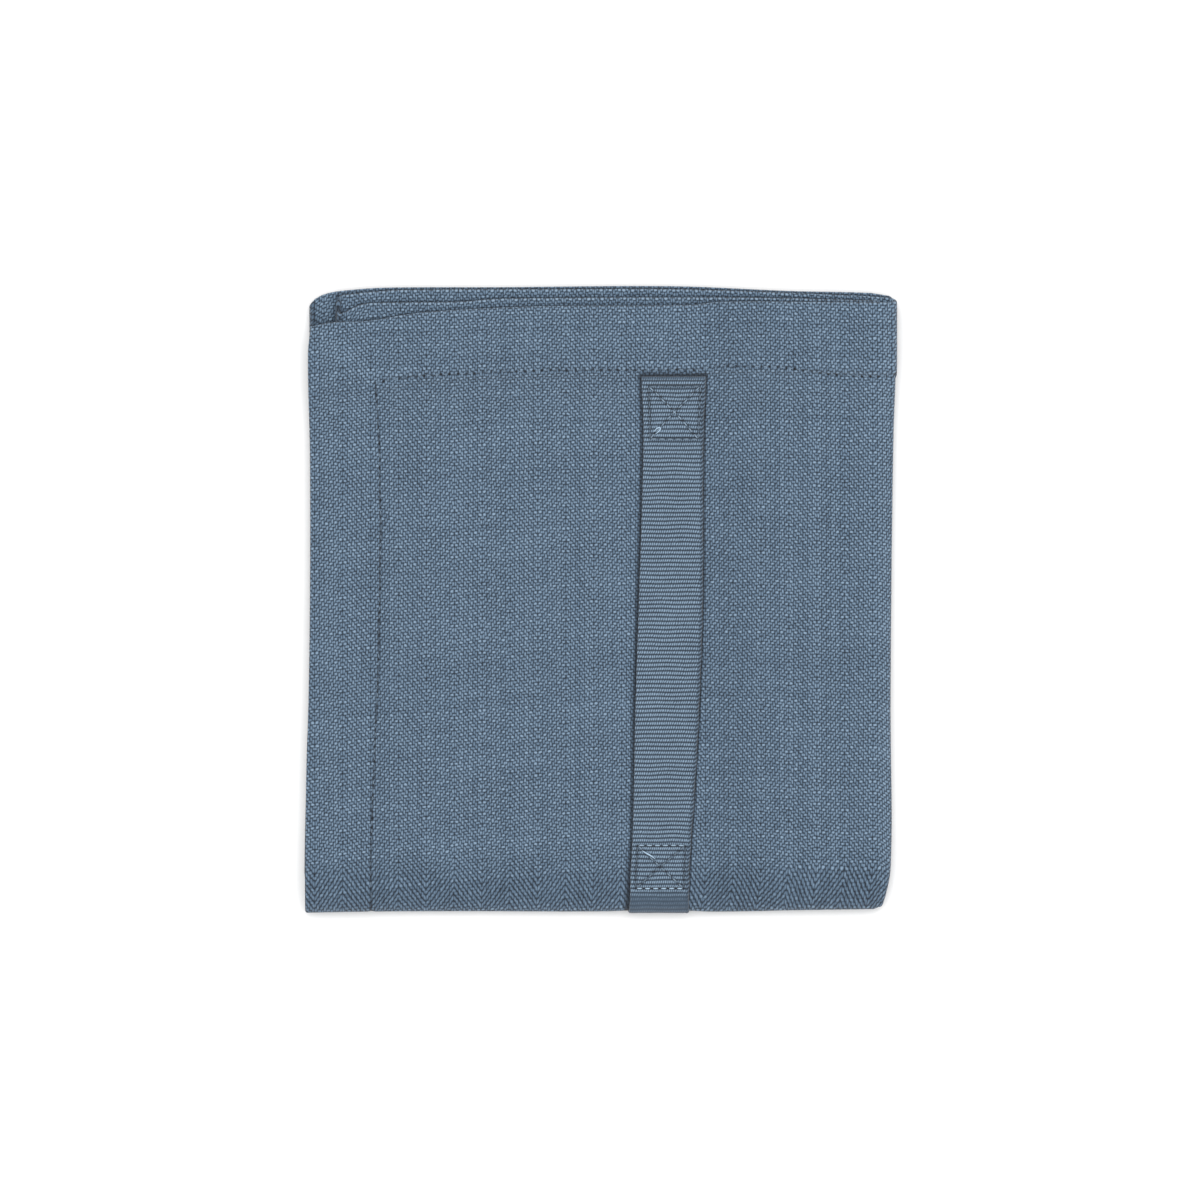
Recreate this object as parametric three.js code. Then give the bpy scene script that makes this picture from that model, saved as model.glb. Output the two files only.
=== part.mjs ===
// A dish towel of herringbone cotton, folded in thirds and then in half, with a hanging tape.
// Millimetres. The origin is under the middle of the folded towel, +Z is up, +Y runs to the
// hemmed edges and +X to the side fold. The towel lies with its tape side up.
//
// The cloth is one sheet. Across X it runs as flap, base and inner flap, which is a fold in
// thirds: the flap lies outside, the inner flap is turned in between flap and base, and the side
// fold joins flap and base. Along Y that stack is folded in half round the bottom fold, so each
// of the three panels lies in the front half and again, turned over, in the back half.

import * as THREE from 'three';

// Cloth
const CLOTH = 1.0; // thickness of the woven cloth
const HEM = 2.0; // thickness where the hem doubles it
const HEM_WIDTH = 26.5; // from the edge to the hem's line of stitches
const HEM_STEP = 2.5; // over which the hem thins to the plain cloth
const PLY_GAP = 0.35; // between layers that lie on each other
const EDGE_ROUND = 1.2; // how far in from a free edge its rounding reaches
const EDGE_SHARE = 0.45; // of the thickness that is left at the edge itself

// How the stack settles
const HEM_RAMP = 22; // over which the layers ride up onto the hems beneath them
const TURN_HEIGHT = 16; // about how far above its lowest line the bottom fold starts to turn
const TURN_REACH = 3.2; // the bottom fold's roundness, along the towel against upright
const FOLD_LOFT = { front: 1.4, back: 0.8 }; // how far the bottom fold springs open
const FOLD_LOFT_REACH = 34; // how far up the towel that is felt
const SIDE_DROP = 0.9; // how far the flap sinks between the inner flap's end and the side fold
const SIDE_ROUND = 1.15; // the side fold's roundness, sideways against upright
const OVERHANG_DROP = 1.2; // how far the flap sinks past the fold of the inner flap
const OVERHANG_REACH = 14; // over which it sinks
const CROWN = { x: -20, y: -58, wide: 105, long: 58, height: 2.4 }; // the front's soft bulge

// Side fold and inner flap
const SIDE_X = 115.5; // where the side fold lies on the whole
const SQUARE_X = 60; // from here on the panels follow the side fold's uneven line
const INNER_END = 109; // the inner flap's free hem
const CORNER_TUCK = 2.6; // how far the corner of the two folds draws in

// Tape
const TAPE = 1.0; // thickness over its ribs
const TAPE_GAP = 0.3; // between the tape and the cloth
const TAPE_START = 88.6; // its upper end, against the hem's stitches
const TAPE_END = -79; // its lower end, under the towel
const TAPE_SLACK = 0.7; // how far it stands off the cloth between its sewn places
const SLACK_FROM = 62; // the lower end of the upper sewn place
const SLACK_TO = -94; // the upper end of the lower one
const TAIL_LEFT = 10.4; // the two edges of the part under the towel
const TAIL_RIGHT = 34.8;
const RIB_PITCH = 1.645;
const RIB_DEPTH = 0.15;
const CHANNEL_SIDE = 14; // how far beside the tail the cloth comes down to the surface again
const CHANNEL_CLEAR = 0.5; // how far it stays level beside the tail

// The free side hem of the flap, in the front half and in the back half
const FLAP_EDGE = {
  front: [
    { y: -122, x: -116.9 },
    { y: -66, x: -116.1 },
    { y: -41, x: -115.3 },
    { y: 0, x: -114.7 },
    { y: 57, x: -114.7 },
    { y: 97, x: -115.5 },
    { y: 109, x: -114.3 },
  ],
  back: [
    { y: -122, x: -116.9 },
    { y: 0, x: -113.5 },
    { y: 115, x: -112.5 },
  ],
};

// The fold that joins base and inner flap
const INNER_FOLD = {
  front: [
    { y: -120, x: -114.5 },
    { y: -60, x: -110 },
    { y: 0, x: -107 },
    { y: 60, x: -105 },
    { y: 121, x: -104 },
  ],
  back: [
    { y: -120, x: -117 },
    { y: -98, x: -116.7 },
    { y: -75, x: -116.2 },
    { y: -50, x: -115.4 },
    { y: 0, x: -114.2 },
    { y: 60, x: -113.8 },
    { y: 112, x: -114.4 },
  ],
};

// The side fold
const SIDE_FOLD = [
  { y: -119, x: 113.6 },
  { y: -112, x: 114.5 },
  { y: -100, x: 115.1 },
  { y: -83, x: 115.3 },
  { y: -42, x: 114.9 },
  { y: 1, x: 115.2 },
  { y: 64, x: 116 },
  { y: 90, x: 116.9 },
  { y: 114, x: 117 },
];

// The bottom fold
const BOTTOM_FOLD = [
  { x: -117, y: -123.7 },
  { x: -104, y: -123.4 },
  { x: -79, y: -123.1 },
  { x: 0, y: -123.1 },
  { x: 12, y: -122.8 },
  { x: 33, y: -122.8 },
  { x: 45, y: -123.2 },
  { x: 74, y: -122.8 },
  { x: 103, y: -122.3 },
  { x: 117, y: -122 },
];

// The hemmed edge of each panel
const HEMMED_EDGE = {
  front: {
    flap: [
      { x: -114, y: 108.2 },
      { x: -106, y: 109.8 },
      { x: -92, y: 110.4 },
      { x: -73, y: 113.4 },
      { x: -52, y: 115 },
      { x: -22, y: 116.2 },
      { x: 36, y: 116.7 },
      { x: 47, y: 117.9 },
      { x: 84, y: 117.9 },
      { x: 117, y: 117.6 },
    ],
    inner: [
      { x: -104, y: 112.6 },
      { x: -101, y: 113.8 },
      { x: -95, y: 116.7 },
      { x: -89, y: 117.5 },
      { x: -56, y: 117.9 },
      { x: -39, y: 119.2 },
      { x: 58, y: 119.6 },
      { x: 117, y: 118.2 },
    ],
    base: [
      { x: -104, y: 120.4 },
      { x: -86, y: 122.2 },
      { x: -73, y: 122.7 },
      { x: -20, y: 122.9 },
      { x: 30, y: 122.9 },
      { x: 96, y: 120.6 },
      { x: 117, y: 119.4 },
    ],
  },
  back: {
    base: [
      { x: -114, y: 117.6 },
      { x: -112, y: 119.6 },
      { x: -107, y: 121.5 },
      { x: -101, y: 122.4 },
      { x: -86, y: 123.5 },
      { x: -40, y: 123.7 },
      { x: 29, y: 124.1 },
      { x: 75, y: 122.2 },
      { x: 110, y: 121.3 },
      { x: 115, y: 119.9 },
      { x: 117, y: 117.2 },
    ],
    inner: [
      { x: -114, y: 116 },
      { x: -108, y: 118.6 },
      { x: -95, y: 120 },
      { x: 29, y: 120.6 },
      { x: 117, y: 117.4 },
    ],
    flap: [
      { x: -114, y: 114.5 },
      { x: 29, y: 119 },
      { x: 105, y: 117.4 },
      { x: 117, y: 115.4 },
    ],
  },
};

// The two edges of the tape on the front
const TAPE_EDGES = [
  { y: -122, left: 11, right: 34.5 },
  { y: -98, left: 12.7, right: 35.8 },
  { y: -75, left: 13.4, right: 37.4 },
  { y: -42, left: 14, right: 39.2 },
  { y: 0, left: 15.4, right: 40.6 },
  { y: 64, left: 17.2, right: 40.9 },
  { y: 89, left: 16.4, right: 42 },
];

// Where the sheet has its columns, left to right, between the side hem and the side fold
const STATIONS = [
  { from: 'middle', by: -90 },
  { from: 'middle', by: -82 },
  { from: 'middle', by: -74 },
  { from: 'middle', by: -60 },
  { from: 'middle', by: -25 },
  { from: 'left', by: -CHANNEL_SIDE },
  { from: 'left', by: -CHANNEL_CLEAR },
  { from: 'right', by: CHANNEL_CLEAR },
  { from: 'right', by: CHANNEL_SIDE },
  { from: 'middle', by: 70 },
  { from: 'middle', by: 86 },
  { from: 'middle', by: 96 },
  { from: 'middle', by: INNER_END },
];

// Where it has its rows, from the hemmed edges down to the bottom fold
const ROW_Y = [
  100, TAPE_START, 82, 75, 68, 45, 10, -30, TAPE_END + CHANNEL_SIDE, TAPE_END, -88, -97,
];
const TURN_STEPS = 8;
const SIDE_STEPS = 6;
const INNER_STEPS = 4;

/** 0 below 0, 1 above 1 and a smooth rise between. */
function rise(s) {
  const t = Math.min(Math.max(s, 0), 1);
  return t * t * (3 - 2 * t);
}

function mix(a, b, share) {
  return a + (b - a) * share;
}

/** One column of a table at a place in another, on a smooth curve through the rows. */
function along(table, from, to, at) {
  const last = table.length - 1;
  const place = Math.min(Math.max(at, table[0][from]), table[last][from]);
  const after = table.findIndex((row) => row[from] >= place);
  const k = Math.max(after - 1, 0);
  const slope = (i) => {
    const before = table[Math.max(i - 1, 0)];
    const next = table[Math.min(i + 1, last)];
    return (next[to] - before[to]) / (next[from] - before[from]);
  };
  const span = table[k + 1][from] - table[k][from];
  const s = (place - table[k][from]) / span;
  const eased = s * s * (3 - 2 * s);
  const leaving = slope(k) * span * s * (1 - s) * (1 - s);
  const arriving = slope(k + 1) * span * s * s * (1 - s);
  return mix(table[k][to], table[k + 1][to], eased) + leaving - arriving;
}

/** The side fold's X at a height up the towel, less what the corner of the two folds tucks in. */
function sideFoldX(y, tuck) {
  return along(SIDE_FOLD, 'y', 'x', y) - tuck;
}

/** An X in the right-hand part of a panel, moved in step with the side fold. */
function squared(x, y, tuck) {
  const share = (sideFoldX(y, tuck) - SQUARE_X) / (SIDE_X - SQUARE_X);
  return x < SQUARE_X ? x : SQUARE_X + (x - SQUARE_X) * share;
}

function tapeEdge(side, half, y) {
  const tail = side === 'left' ? TAIL_LEFT : TAIL_RIGHT;
  return half === 'back' ? tail : along(TAPE_EDGES, 'y', side, y);
}

function stationX(station, half, y, tuck) {
  if (station.from === 'middle') {
    return squared(station.by, y, tuck);
  }
  return tapeEdge(station.from, half, y) + station.by;
}

/** How far the turned hem reaches: 1 inside it, 0 in the field, with the given step between. */
function inHem(distance, step) {
  return 1 - rise((distance - HEM_WIDTH) / step);
}

/** Thickness of one panel where it thins over the given step behind its hems. */
function thickness(panel, half, x, y, tuck, step) {
  const hemmed = inHem(along(HEMMED_EDGE[half][panel], 'x', 'y', x) - y, step);
  const side = {
    flap: () => inHem(x - along(FLAP_EDGE[half], 'y', 'x', y), step),
    inner: () => inHem(squared(INNER_END, y, tuck) - x, step),
    base: () => 0,
  };
  return mix(CLOTH, HEM, Math.max(hemmed, side[panel]()));
}

/** About where the bottom fold starts to turn. */
function nearTurnY(x) {
  return along(BOTTOM_FOLD, 'x', 'y', x) + TURN_HEIGHT;
}

/** Where the bottom fold's turn has its centre, so that its outer face meets the fold's line. */
function turnY(x, tuck) {
  const near = nearTurnY(x);
  const cover = thickness('flap', 'front', x, near, tuck, HEM_STEP) / 2;
  const level = (half) => levels(half, x, near, tuck).flap;
  return near - TURN_HEIGHT + (TURN_REACH * (level('front') + level('back'))) / 2 + cover;
}

/** Height of the soft bulge at a place. */
function crownAt(x, y) {
  const across = (x - CROWN.x) / CROWN.wide;
  const down = (y - CROWN.y) / CROWN.long;
  return CROWN.height * Math.exp(-across * across - down * down);
}

/** Distance of each panel from the plane between the two halves. */
function levels(half, x, y, tuck) {
  const room = (panel) => thickness(panel, half, x, y, tuck, HEM_RAMP);
  const up = rise((y - nearTurnY(x)) / FOLD_LOFT_REACH);
  const air = half === 'front' ? (crownAt(x, y) * up) / 3 : 0; // over each layer but the last
  const loft = FOLD_LOFT[half] * (1 - up);
  const base = PLY_GAP / 2 + room('base') / 2 + loft + air;
  const inner = base + room('base') / 2 + PLY_GAP + air + room('inner') / 2;
  const end = squared(INNER_END, y, tuck);
  const side = SIDE_DROP * rise((x - end) / (sideFoldX(y, tuck) - end));
  const flap = inner + room('inner') / 2 + PLY_GAP + air + room('flap') / 2 - side;
  if (half === 'back') {
    return { base, inner, flap };
  }
  const beyond = along(INNER_FOLD.front, 'y', 'x', y) - x;
  const overhang = OVERHANG_DROP * up * rise(beyond / OVERHANG_REACH);
  return { base, inner, flap: flap - overhang };
}

/** How far the tail of the tape lifts the cloth that lies on it. */
function tailLift(x, y) {
  const beside = Math.max(TAIL_LEFT - x, x - TAIL_RIGHT) - CHANNEL_CLEAR;
  const beyond = y - TAPE_END - CHANNEL_CLEAR;
  const away = Math.max(beside, beyond) / (CHANNEL_SIDE - CHANNEL_CLEAR);
  return (TAPE + TAPE_GAP) * (1 - rise(away));
}

/** Height of the plane between the two halves, so that the back half lies flat. */
function middleZ(x, y, tuck) {
  const under = thickness('flap', 'back', x, y, tuck, HEM_STEP) / 2;
  return levels('back', x, y, tuck).flap + under + tailLift(x, y);
}

/** A point of the sheet's cross-section: X, distance from the middle plane, panel and hemmed Y. */
function sectionPoint(column, half, y, tuck) {
  const edgeY = (panel, x) => along(HEMMED_EDGE[half][panel], 'x', 'y', x);
  const flat = (panel, x) => {
    return { panel, x, level: levels(half, x, y, tuck)[panel], edge: edgeY(panel, x) };
  };
  const sideX = sideFoldX(y, tuck);
  const atSide = levels(half, sideX, y, tuck);
  const sideRadius = (atSide.flap - atSide.base) / 2;
  const sideStart = sideX - CLOTH / 2 - sideRadius * SIDE_ROUND;
  const innerX = along(INNER_FOLD[half], 'y', 'x', y);
  const atInner = levels(half, innerX, y, tuck);
  const innerRadius = (atInner.inner - atInner.base) / 2;
  const innerReach = innerRadius * mix(1, TURN_REACH, tuck / CORNER_TUCK); // rounder as it turns
  const innerStart = innerX + CLOTH / 2 + innerReach;
  if (column.kind === 'hem') {
    return flat('flap', along(FLAP_EDGE[half], 'y', 'x', y) + column.by);
  }
  if (column.kind === 'station') {
    return flat(column.panel, stationX(column.station, half, y, tuck));
  }
  if (column.kind === 'lead') {
    const first = stationX(STATIONS[0], half, y, tuck);
    return flat(column.panel, mix(innerStart, first, column.share));
  }
  if (column.kind === 'end') {
    return flat('inner', squared(INNER_END, y, tuck) - column.by);
  }
  const side = column.kind === 'side';
  const radius = side ? sideRadius : innerRadius;
  const centre = side ? (atSide.flap + atSide.base) / 2 : (atInner.inner + atInner.base) / 2;
  const outer = side ? 'flap' : 'inner';
  const x = side
    ? sideStart + radius * SIDE_ROUND * Math.sin(column.angle)
    : innerStart - innerReach * Math.sin(column.angle);
  const share = (1 - Math.cos(column.angle)) / 2;
  return {
    panel: side ? outer : 'base',
    x,
    level: centre + radius * Math.cos(column.angle),
    edge: mix(edgeY(outer, x), edgeY('base', x), share),
  };
}

/** The columns of the sheet from the flap's free hem to the inner flap's free hem. */
function sheetColumns() {
  const hem = [0, EDGE_ROUND, 11].map((by) => ({ kind: 'hem', by }));
  const panel = (name) => STATIONS.map((station) => ({ kind: 'station', panel: name, station }));
  const turn = (kind, steps) => {
    const angles = Array.from({ length: steps + 1 }, (_, k) => (Math.PI * k) / steps);
    return angles.map((angle) => ({ kind, angle }));
  };
  const innerPanel = panel('inner').slice(0, -1);
  return [
    ...hem,
    ...panel('flap'),
    ...turn('side', SIDE_STEPS),
    ...panel('base').reverse(),
    { kind: 'lead', panel: 'base', share: 0.5 },
    ...turn('inner', INNER_STEPS).reverse(),
    { kind: 'lead', panel: 'inner', share: 0.5 },
    ...innerPanel,
    { kind: 'end', by: EDGE_ROUND },
    { kind: 'end', by: 0 },
  ];
}

/** The rows of the sheet from the front hemmed edge, round the bottom fold, to the back one. */
function sheetRows() {
  const front = [
    { half: 'front', below: 0 },
    { half: 'front', below: EDGE_ROUND },
    ...ROW_Y.map((y) => ({ half: 'front', y })),
  ];
  const turn = Array.from({ length: TURN_STEPS + 1 }, (_, k) => {
    return { half: 'turn', angle: (Math.PI * k) / TURN_STEPS };
  });
  const back = front.map((row) => ({ ...row, half: 'back' })).reverse();
  return [...front, ...turn, ...back];
}

/** The middle of the cloth at one column and row, with its half thickness. */
function sheetPoint(column, row) {
  if (row.half === 'turn') {
    const tuck = CORNER_TUCK * Math.sin(row.angle) ** 1.5;
    const start = turnY(sectionPoint(column, 'front', ROW_Y.at(-1), tuck).x, tuck);
    const front = sectionPoint(column, 'front', start, tuck);
    const back = sectionPoint(column, 'back', start, tuck);
    const share = (1 - Math.cos(row.angle)) / 2;
    const x = mix(front.x, back.x, share);
    const level = mix(front.level, back.level, share);
    const half = thickness(front.panel, 'front', x, start, tuck, HEM_STEP) / 2;
    const y = turnY(x, tuck) - TURN_REACH * level * Math.sin(row.angle);
    const z = middleZ(x, start, tuck) + level * Math.cos(row.angle);
    return { at: new THREE.Vector3(x, y, z), half };
  }
  let y = row.y;
  if (y === undefined) {
    const edge = sectionPoint(column, row.half, ROW_Y[0], 0).edge;
    y = sectionPoint(column, row.half, edge, 0).edge - row.below;
  }
  const { panel, x, level } = sectionPoint(column, row.half, y, 0);
  const sign = row.half === 'front' ? 1 : -1;
  const half = thickness(panel, row.half, x, y, 0, HEM_STEP) / 2;
  return { at: new THREE.Vector3(x, y, middleZ(x, y, 0) + sign * level), half };
}

/** Unit normals of a grid of points, from the directions along its columns and rows. */
function gridNormals(grid) {
  const lastColumn = grid.length - 1;
  const lastRow = grid[0].length - 1;
  return grid.map((line, i) => {
    return line.map((_, j) => {
      const after = grid[Math.min(i + 1, lastColumn)][j];
      const before = grid[Math.max(i - 1, 0)][j];
      const below = grid[i][Math.min(j + 1, lastRow)];
      const above = grid[i][Math.max(j - 1, 0)];
      const across = new THREE.Vector3().subVectors(after, before);
      const down = new THREE.Vector3().subVectors(below, above);
      return down.cross(across).normalize();
    });
  });
}

/**
 * A closed solid between two grids of points that face away from each other. Every four-sided
 * facet is split along the same direction in plan, so that panels that lie on each other stay
 * parallel whichever way their columns and rows run.
 */
function solidBetween(outer, inner) {
  const columns = outer.length;
  const rows = outer[0].length;
  const positions = [...outer.flat(), ...inner.flat()].flatMap((p) => p.toArray());
  const top = (i, j) => i * rows + j;
  const bottom = (i, j) => columns * rows + i * rows + j;
  const index = [];
  const quad = (a, b, c, d) => index.push(a, b, c, a, c, d);
  const otherQuad = (a, b, c, d) => index.push(a, b, d, b, c, d);
  const splitFor = (i, j) => {
    const across = outer[i + 1][j + 1].x - outer[i][j].x;
    const down = outer[i + 1][j + 1].y - outer[i][j].y;
    return across * down > 0 ? quad : otherQuad;
  };
  for (let i = 0; i + 1 < columns; i += 1) {
    for (let j = 0; j + 1 < rows; j += 1) {
      const split = splitFor(i, j);
      split(top(i, j), top(i, j + 1), top(i + 1, j + 1), top(i + 1, j));
      split(bottom(i, j), bottom(i + 1, j), bottom(i + 1, j + 1), bottom(i, j + 1));
    }
    quad(top(i, 0), top(i + 1, 0), bottom(i + 1, 0), bottom(i, 0));
    const end = rows - 1;
    quad(top(i, end), bottom(i, end), bottom(i + 1, end), top(i + 1, end));
  }
  for (let j = 0; j + 1 < rows; j += 1) {
    quad(top(0, j), bottom(0, j), bottom(0, j + 1), top(0, j + 1));
    const end = columns - 1;
    quad(top(end, j), top(end, j + 1), bottom(end, j + 1), bottom(end, j));
  }
  const geometry = new THREE.BufferGeometry();
  geometry.setAttribute('position', new THREE.Float32BufferAttribute(positions, 3));
  geometry.setIndex(index);
  geometry.computeVertexNormals();
  return geometry;
}

/** Both faces of the folded cloth. */
function clothFaces() {
  const columns = sheetColumns();
  const rows = sheetRows();
  const points = columns.map((column) => rows.map((row) => sheetPoint(column, row)));
  const middle = points.map((line) => line.map((p) => p.at));
  const normals = gridNormals(middle);
  const face = (sign) => points.map((line, i) => {
    return line.map((p, j) => {
      const border = i === 0 || i === columns.length - 1 || j === 0 || j === rows.length - 1;
      const half = border ? p.half * EDGE_SHARE : p.half;
      const place = p.at.clone().addScaledVector(normals[i][j], sign * half);
      place.z = Math.max(place.z, 0);
      return place;
    });
  });
  return { columns, rows, outer: face(1), inner: face(-1) };
}

/** The tape's two edges on the outer face of the cloth, row by row from its start to its end. */
function tapeRails(cloth) {
  const isRail = (column) => column.station?.from === 'left' && column.station.by === -CHANNEL_CLEAR;
  const column = cloth.columns.findIndex(isRail);
  const first = cloth.rows.findIndex((row) => row.y === TAPE_START);
  const last = cloth.rows.findIndex((row) => row.half === 'back' && row.y === TAPE_END);
  const rails = [];
  for (let j = first; j <= last; j += 1) {
    const a = cloth.outer[column][j];
    const b = cloth.outer[column + 1][j];
    const inset = CHANNEL_CLEAR / a.distanceTo(b);
    const free = cloth.rows[j].half === 'front';
    rails.push({
      left: a.clone().lerp(b, inset),
      right: b.clone().lerp(a, inset),
      slack: free ? slackAt(cloth.rows[j].y) : 0,
    });
  }
  return rails;
}

/** How far the tape stands off the cloth between its two sewn places. */
function slackAt(y) {
  const share = (y - SLACK_TO) / (SLACK_FROM - SLACK_TO);
  return TAPE_SLACK * Math.sin(Math.PI * Math.min(Math.max(share, 0), 1)) ** 2;
}

/** The direction away from the cloth at a rail, long enough to keep the facets parallel. */
function awayFromCloth(rails, k) {
  const facing = (a, b) => {
    const down = new THREE.Vector3().subVectors(rails[b].left, rails[a].left);
    const across = new THREE.Vector3().subVectors(rails[a].right, rails[a].left);
    return down.cross(across).normalize();
  };
  const before = facing(Math.max(k - 1, 0), Math.max(k, 1));
  const after = facing(Math.min(k, rails.length - 2), Math.min(k + 1, rails.length - 1));
  const between = before.clone().add(after).normalize();
  return between.divideScalar(between.dot(before));
}

/** The tape as a strip whose outer face is ribbed across. */
function tapeGeometry(cloth) {
  const rails = tapeRails(cloth);
  const away = rails.map((_, k) => awayFromCloth(rails, k));
  const outer = [[], []];
  const inner = [[], []];
  const place = (k, share, height) => {
    const next = Math.min(k + 1, rails.length - 1);
    const lift = mix(rails[k].slack, rails[next].slack, share) + height;
    const out = away[k].clone().lerp(away[next], share);
    return ['left', 'right'].map((side) => {
      return rails[k][side].clone().lerp(rails[next][side], share).addScaledVector(out, lift);
    });
  };
  const addRow = (k, share, top) => {
    place(k, share, top).forEach((point, side) => outer[side].push(point));
    place(k, share, TAPE_GAP).forEach((point, side) => inner[side].push(point));
  };
  for (let k = 0; k + 1 < rails.length; k += 1) {
    const ribs = Math.max(1, Math.round(rails[k].left.distanceTo(rails[k + 1].left) / RIB_PITCH));
    for (let rib = 0; rib < ribs; rib += 1) {
      addRow(k, rib / ribs, TAPE_GAP + TAPE - RIB_DEPTH);
      addRow(k, (rib + 0.5) / ribs, TAPE_GAP + TAPE);
    }
  }
  addRow(rails.length - 1, 0, TAPE_GAP + TAPE - RIB_DEPTH);
  return solidBetween(outer, inner);
}

const cloth = clothFaces();
const towel = new THREE.Group();

const clothMesh = new THREE.Mesh(
  solidBetween(cloth.outer, cloth.inner),
  new THREE.MeshStandardMaterial({ color: 0x637486, roughness: 0.95, metalness: 0 }),
);
clothMesh.name = 'towel_cloth';
towel.add(clothMesh);

const tapeMesh = new THREE.Mesh(
  tapeGeometry(cloth),
  new THREE.MeshStandardMaterial({ color: 0x647587, roughness: 0.85, metalness: 0 }),
);
tapeMesh.name = 'hanging_tape';
towel.add(tapeMesh);

export default towel;
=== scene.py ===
"""The looks of a folded dish towel of herringbone cotton with a hanging tape.

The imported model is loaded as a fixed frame. The folded cloth, the tape and the sewing are worked
out with numpy from the sizes of the solids, only finer, and stand for them. Lengths in the
formulas are millimetres, and meshes are in metres.
"""

import math

import bpy
import numpy as np
from bpy.props import FloatProperty, FloatVectorProperty, PointerProperty
from bpy.types import Operator, Panel, PropertyGroup
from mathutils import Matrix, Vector


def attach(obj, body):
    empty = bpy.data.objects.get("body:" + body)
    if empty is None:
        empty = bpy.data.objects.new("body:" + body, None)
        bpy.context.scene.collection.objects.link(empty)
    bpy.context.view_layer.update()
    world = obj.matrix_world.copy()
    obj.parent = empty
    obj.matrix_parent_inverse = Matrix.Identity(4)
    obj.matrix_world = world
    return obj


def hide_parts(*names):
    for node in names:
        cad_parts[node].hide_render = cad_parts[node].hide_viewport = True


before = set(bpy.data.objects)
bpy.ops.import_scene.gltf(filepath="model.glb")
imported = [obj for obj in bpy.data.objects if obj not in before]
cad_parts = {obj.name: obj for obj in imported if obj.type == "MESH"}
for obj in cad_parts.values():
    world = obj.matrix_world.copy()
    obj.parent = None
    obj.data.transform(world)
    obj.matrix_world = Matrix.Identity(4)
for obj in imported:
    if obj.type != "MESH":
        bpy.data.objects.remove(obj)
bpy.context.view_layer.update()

bl_info = {
    "name": "Folded dish towel",
    "version": (1, 0, 0),
    "blender": (4, 5, 0),
    "location": "View3D > Sidebar > Towel",
    "description": "Makes a folded herringbone towel with its hems, hanging tape and stitches",
    "category": "Object",
}

MM = 0.001

# How the stack settles
HEM_STEP = 2.5  # over which the hem thins to the plain cloth
HEM_RAMP = 22  # over which the layers ride up onto the hems beneath them
EDGE_ROUND = 1.0  # radius of a free edge
TURN_HEIGHT = 16  # about how far above its lowest line the bottom fold starts to turn
TURN_REACH = 3.2  # the bottom fold's roundness, along the towel against upright
FOLD_LOFT_REACH = 34  # how far up the towel the fold's springing open is felt
SIDE_DROP = 0.9  # how far the flap sinks between the inner flap's end and the side fold
SIDE_ROUND = 1.15  # the side fold's roundness, sideways against upright
OVERHANG_DROP = 1.2  # how far the flap sinks past the fold of the inner flap
OVERHANG_REACH = 14  # over which it sinks
CROWN_X, CROWN_Y, CROWN_WIDE, CROWN_LONG = -20, -58, 105, 58  # the front's soft bulge
LOW_Y, HIGH_Y = -97, 100  # a row above the bottom fold's turn, and one below the hemmed edges

# The sheet's grid, from its edges in
FLAP_STEP = 2.1  # between the flap's columns, in the field
FLAP_WIDE = 225.7  # the flap, up to the side fold's turn
INNER_WIDE = 219  # the inner flap, from its fold
FRONT_LONG, BACK_LONG = 234, 238  # the two halves, up to the bottom fold's turn
SEAM_PAST = 3.5  # how far beyond the hems the grid stays fine
EVEN_ACROSS, EVEN_DOWN = 40, 45  # from here in, columns and rows stretch with the cloth
EDGE_THIN = 0.012  # square of the share of the thickness that is left at a free edge
OUTER_RELIEF, INNER_RELIEF = 0.1, 0.12  # soft unevenness of the sheet's two faces

# Side fold and inner flap
SIDE_X = 115.5  # about where the side fold lies
SQUARE_X = 60  # right of this the panels follow the side fold
INNER_END = 109  # the inner flap's free edge
CORNER_TUCK = 2.6  # how far the side folds tuck in on the bottom fold

# Tape: X and Y of its ends, its tail and its slack
TAPE_START = 88.6
TAPE_END = -79
SLACK_FROM = 62
SLACK_TO = -94
TAIL_LEFT = 10.4
TAIL_RIGHT = 34.8
TAPE_BED = 1.3  # how much room the tail has under the cloth
CHANNEL_SIDE = 14  # how far beside the tail the cloth is lifted
CHANNEL_CLEAR = 0.5  # how far beside it the lift is full
TAPE_SEAT = 0.12  # the tape's underside above the cloth's face
TAPE_ROUND = 0.8  # over which its edges round off
TAPE_WAVER = 0.24  # how far its ribs stray along it
THINNEST = 0.15  # what is left of it at its edges
SELVEDGE_WIDE = 1.7  # its right edge, woven closer
SELVEDGE_FROM = 23.0  # from its left edge to where the slanted threads of the right one show
SELVEDGE_SWAY = 0.16  # how far that edge strays sideways
NOTCH_IN, NOTCH_WIDE, NOTCH_DEPTH = 1.6, 0.35, 0.16  # the groove beside that edge
BOX_WIDE, BOX_DEPTH = 0.5, 0.3  # of the troughs under the sewn boxes' stitches
FAINT_FROM, FAINT_REACH = 203, 5  # down the tape, below the lower sewn box: its ribs fade, and its colour evens out to a painted shade where it turns round the bottom fold

# The free side hem of the flap: Y and X
FLAP_EDGE = {
    "front": (
        (-122, -116.9), (-66, -116.1), (-41, -115.3), (0, -114.7), (57, -114.7),
        (97, -115.5), (109, -114.3),
    ),
    "back": ((-122, -116.9), (0, -113.5), (115, -112.5)),
}

# The fold that joins base and inner flap: Y and X
INNER_FOLD = {
    "front": ((-120, -114.5), (-60, -110), (0, -107), (60, -105), (121, -104)),
    "back": (
        (-120, -117), (-98, -116.7), (-75, -116.2), (-50, -115.4), (0, -114.2),
        (60, -113.8), (112, -114.4),
    ),
}

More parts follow.
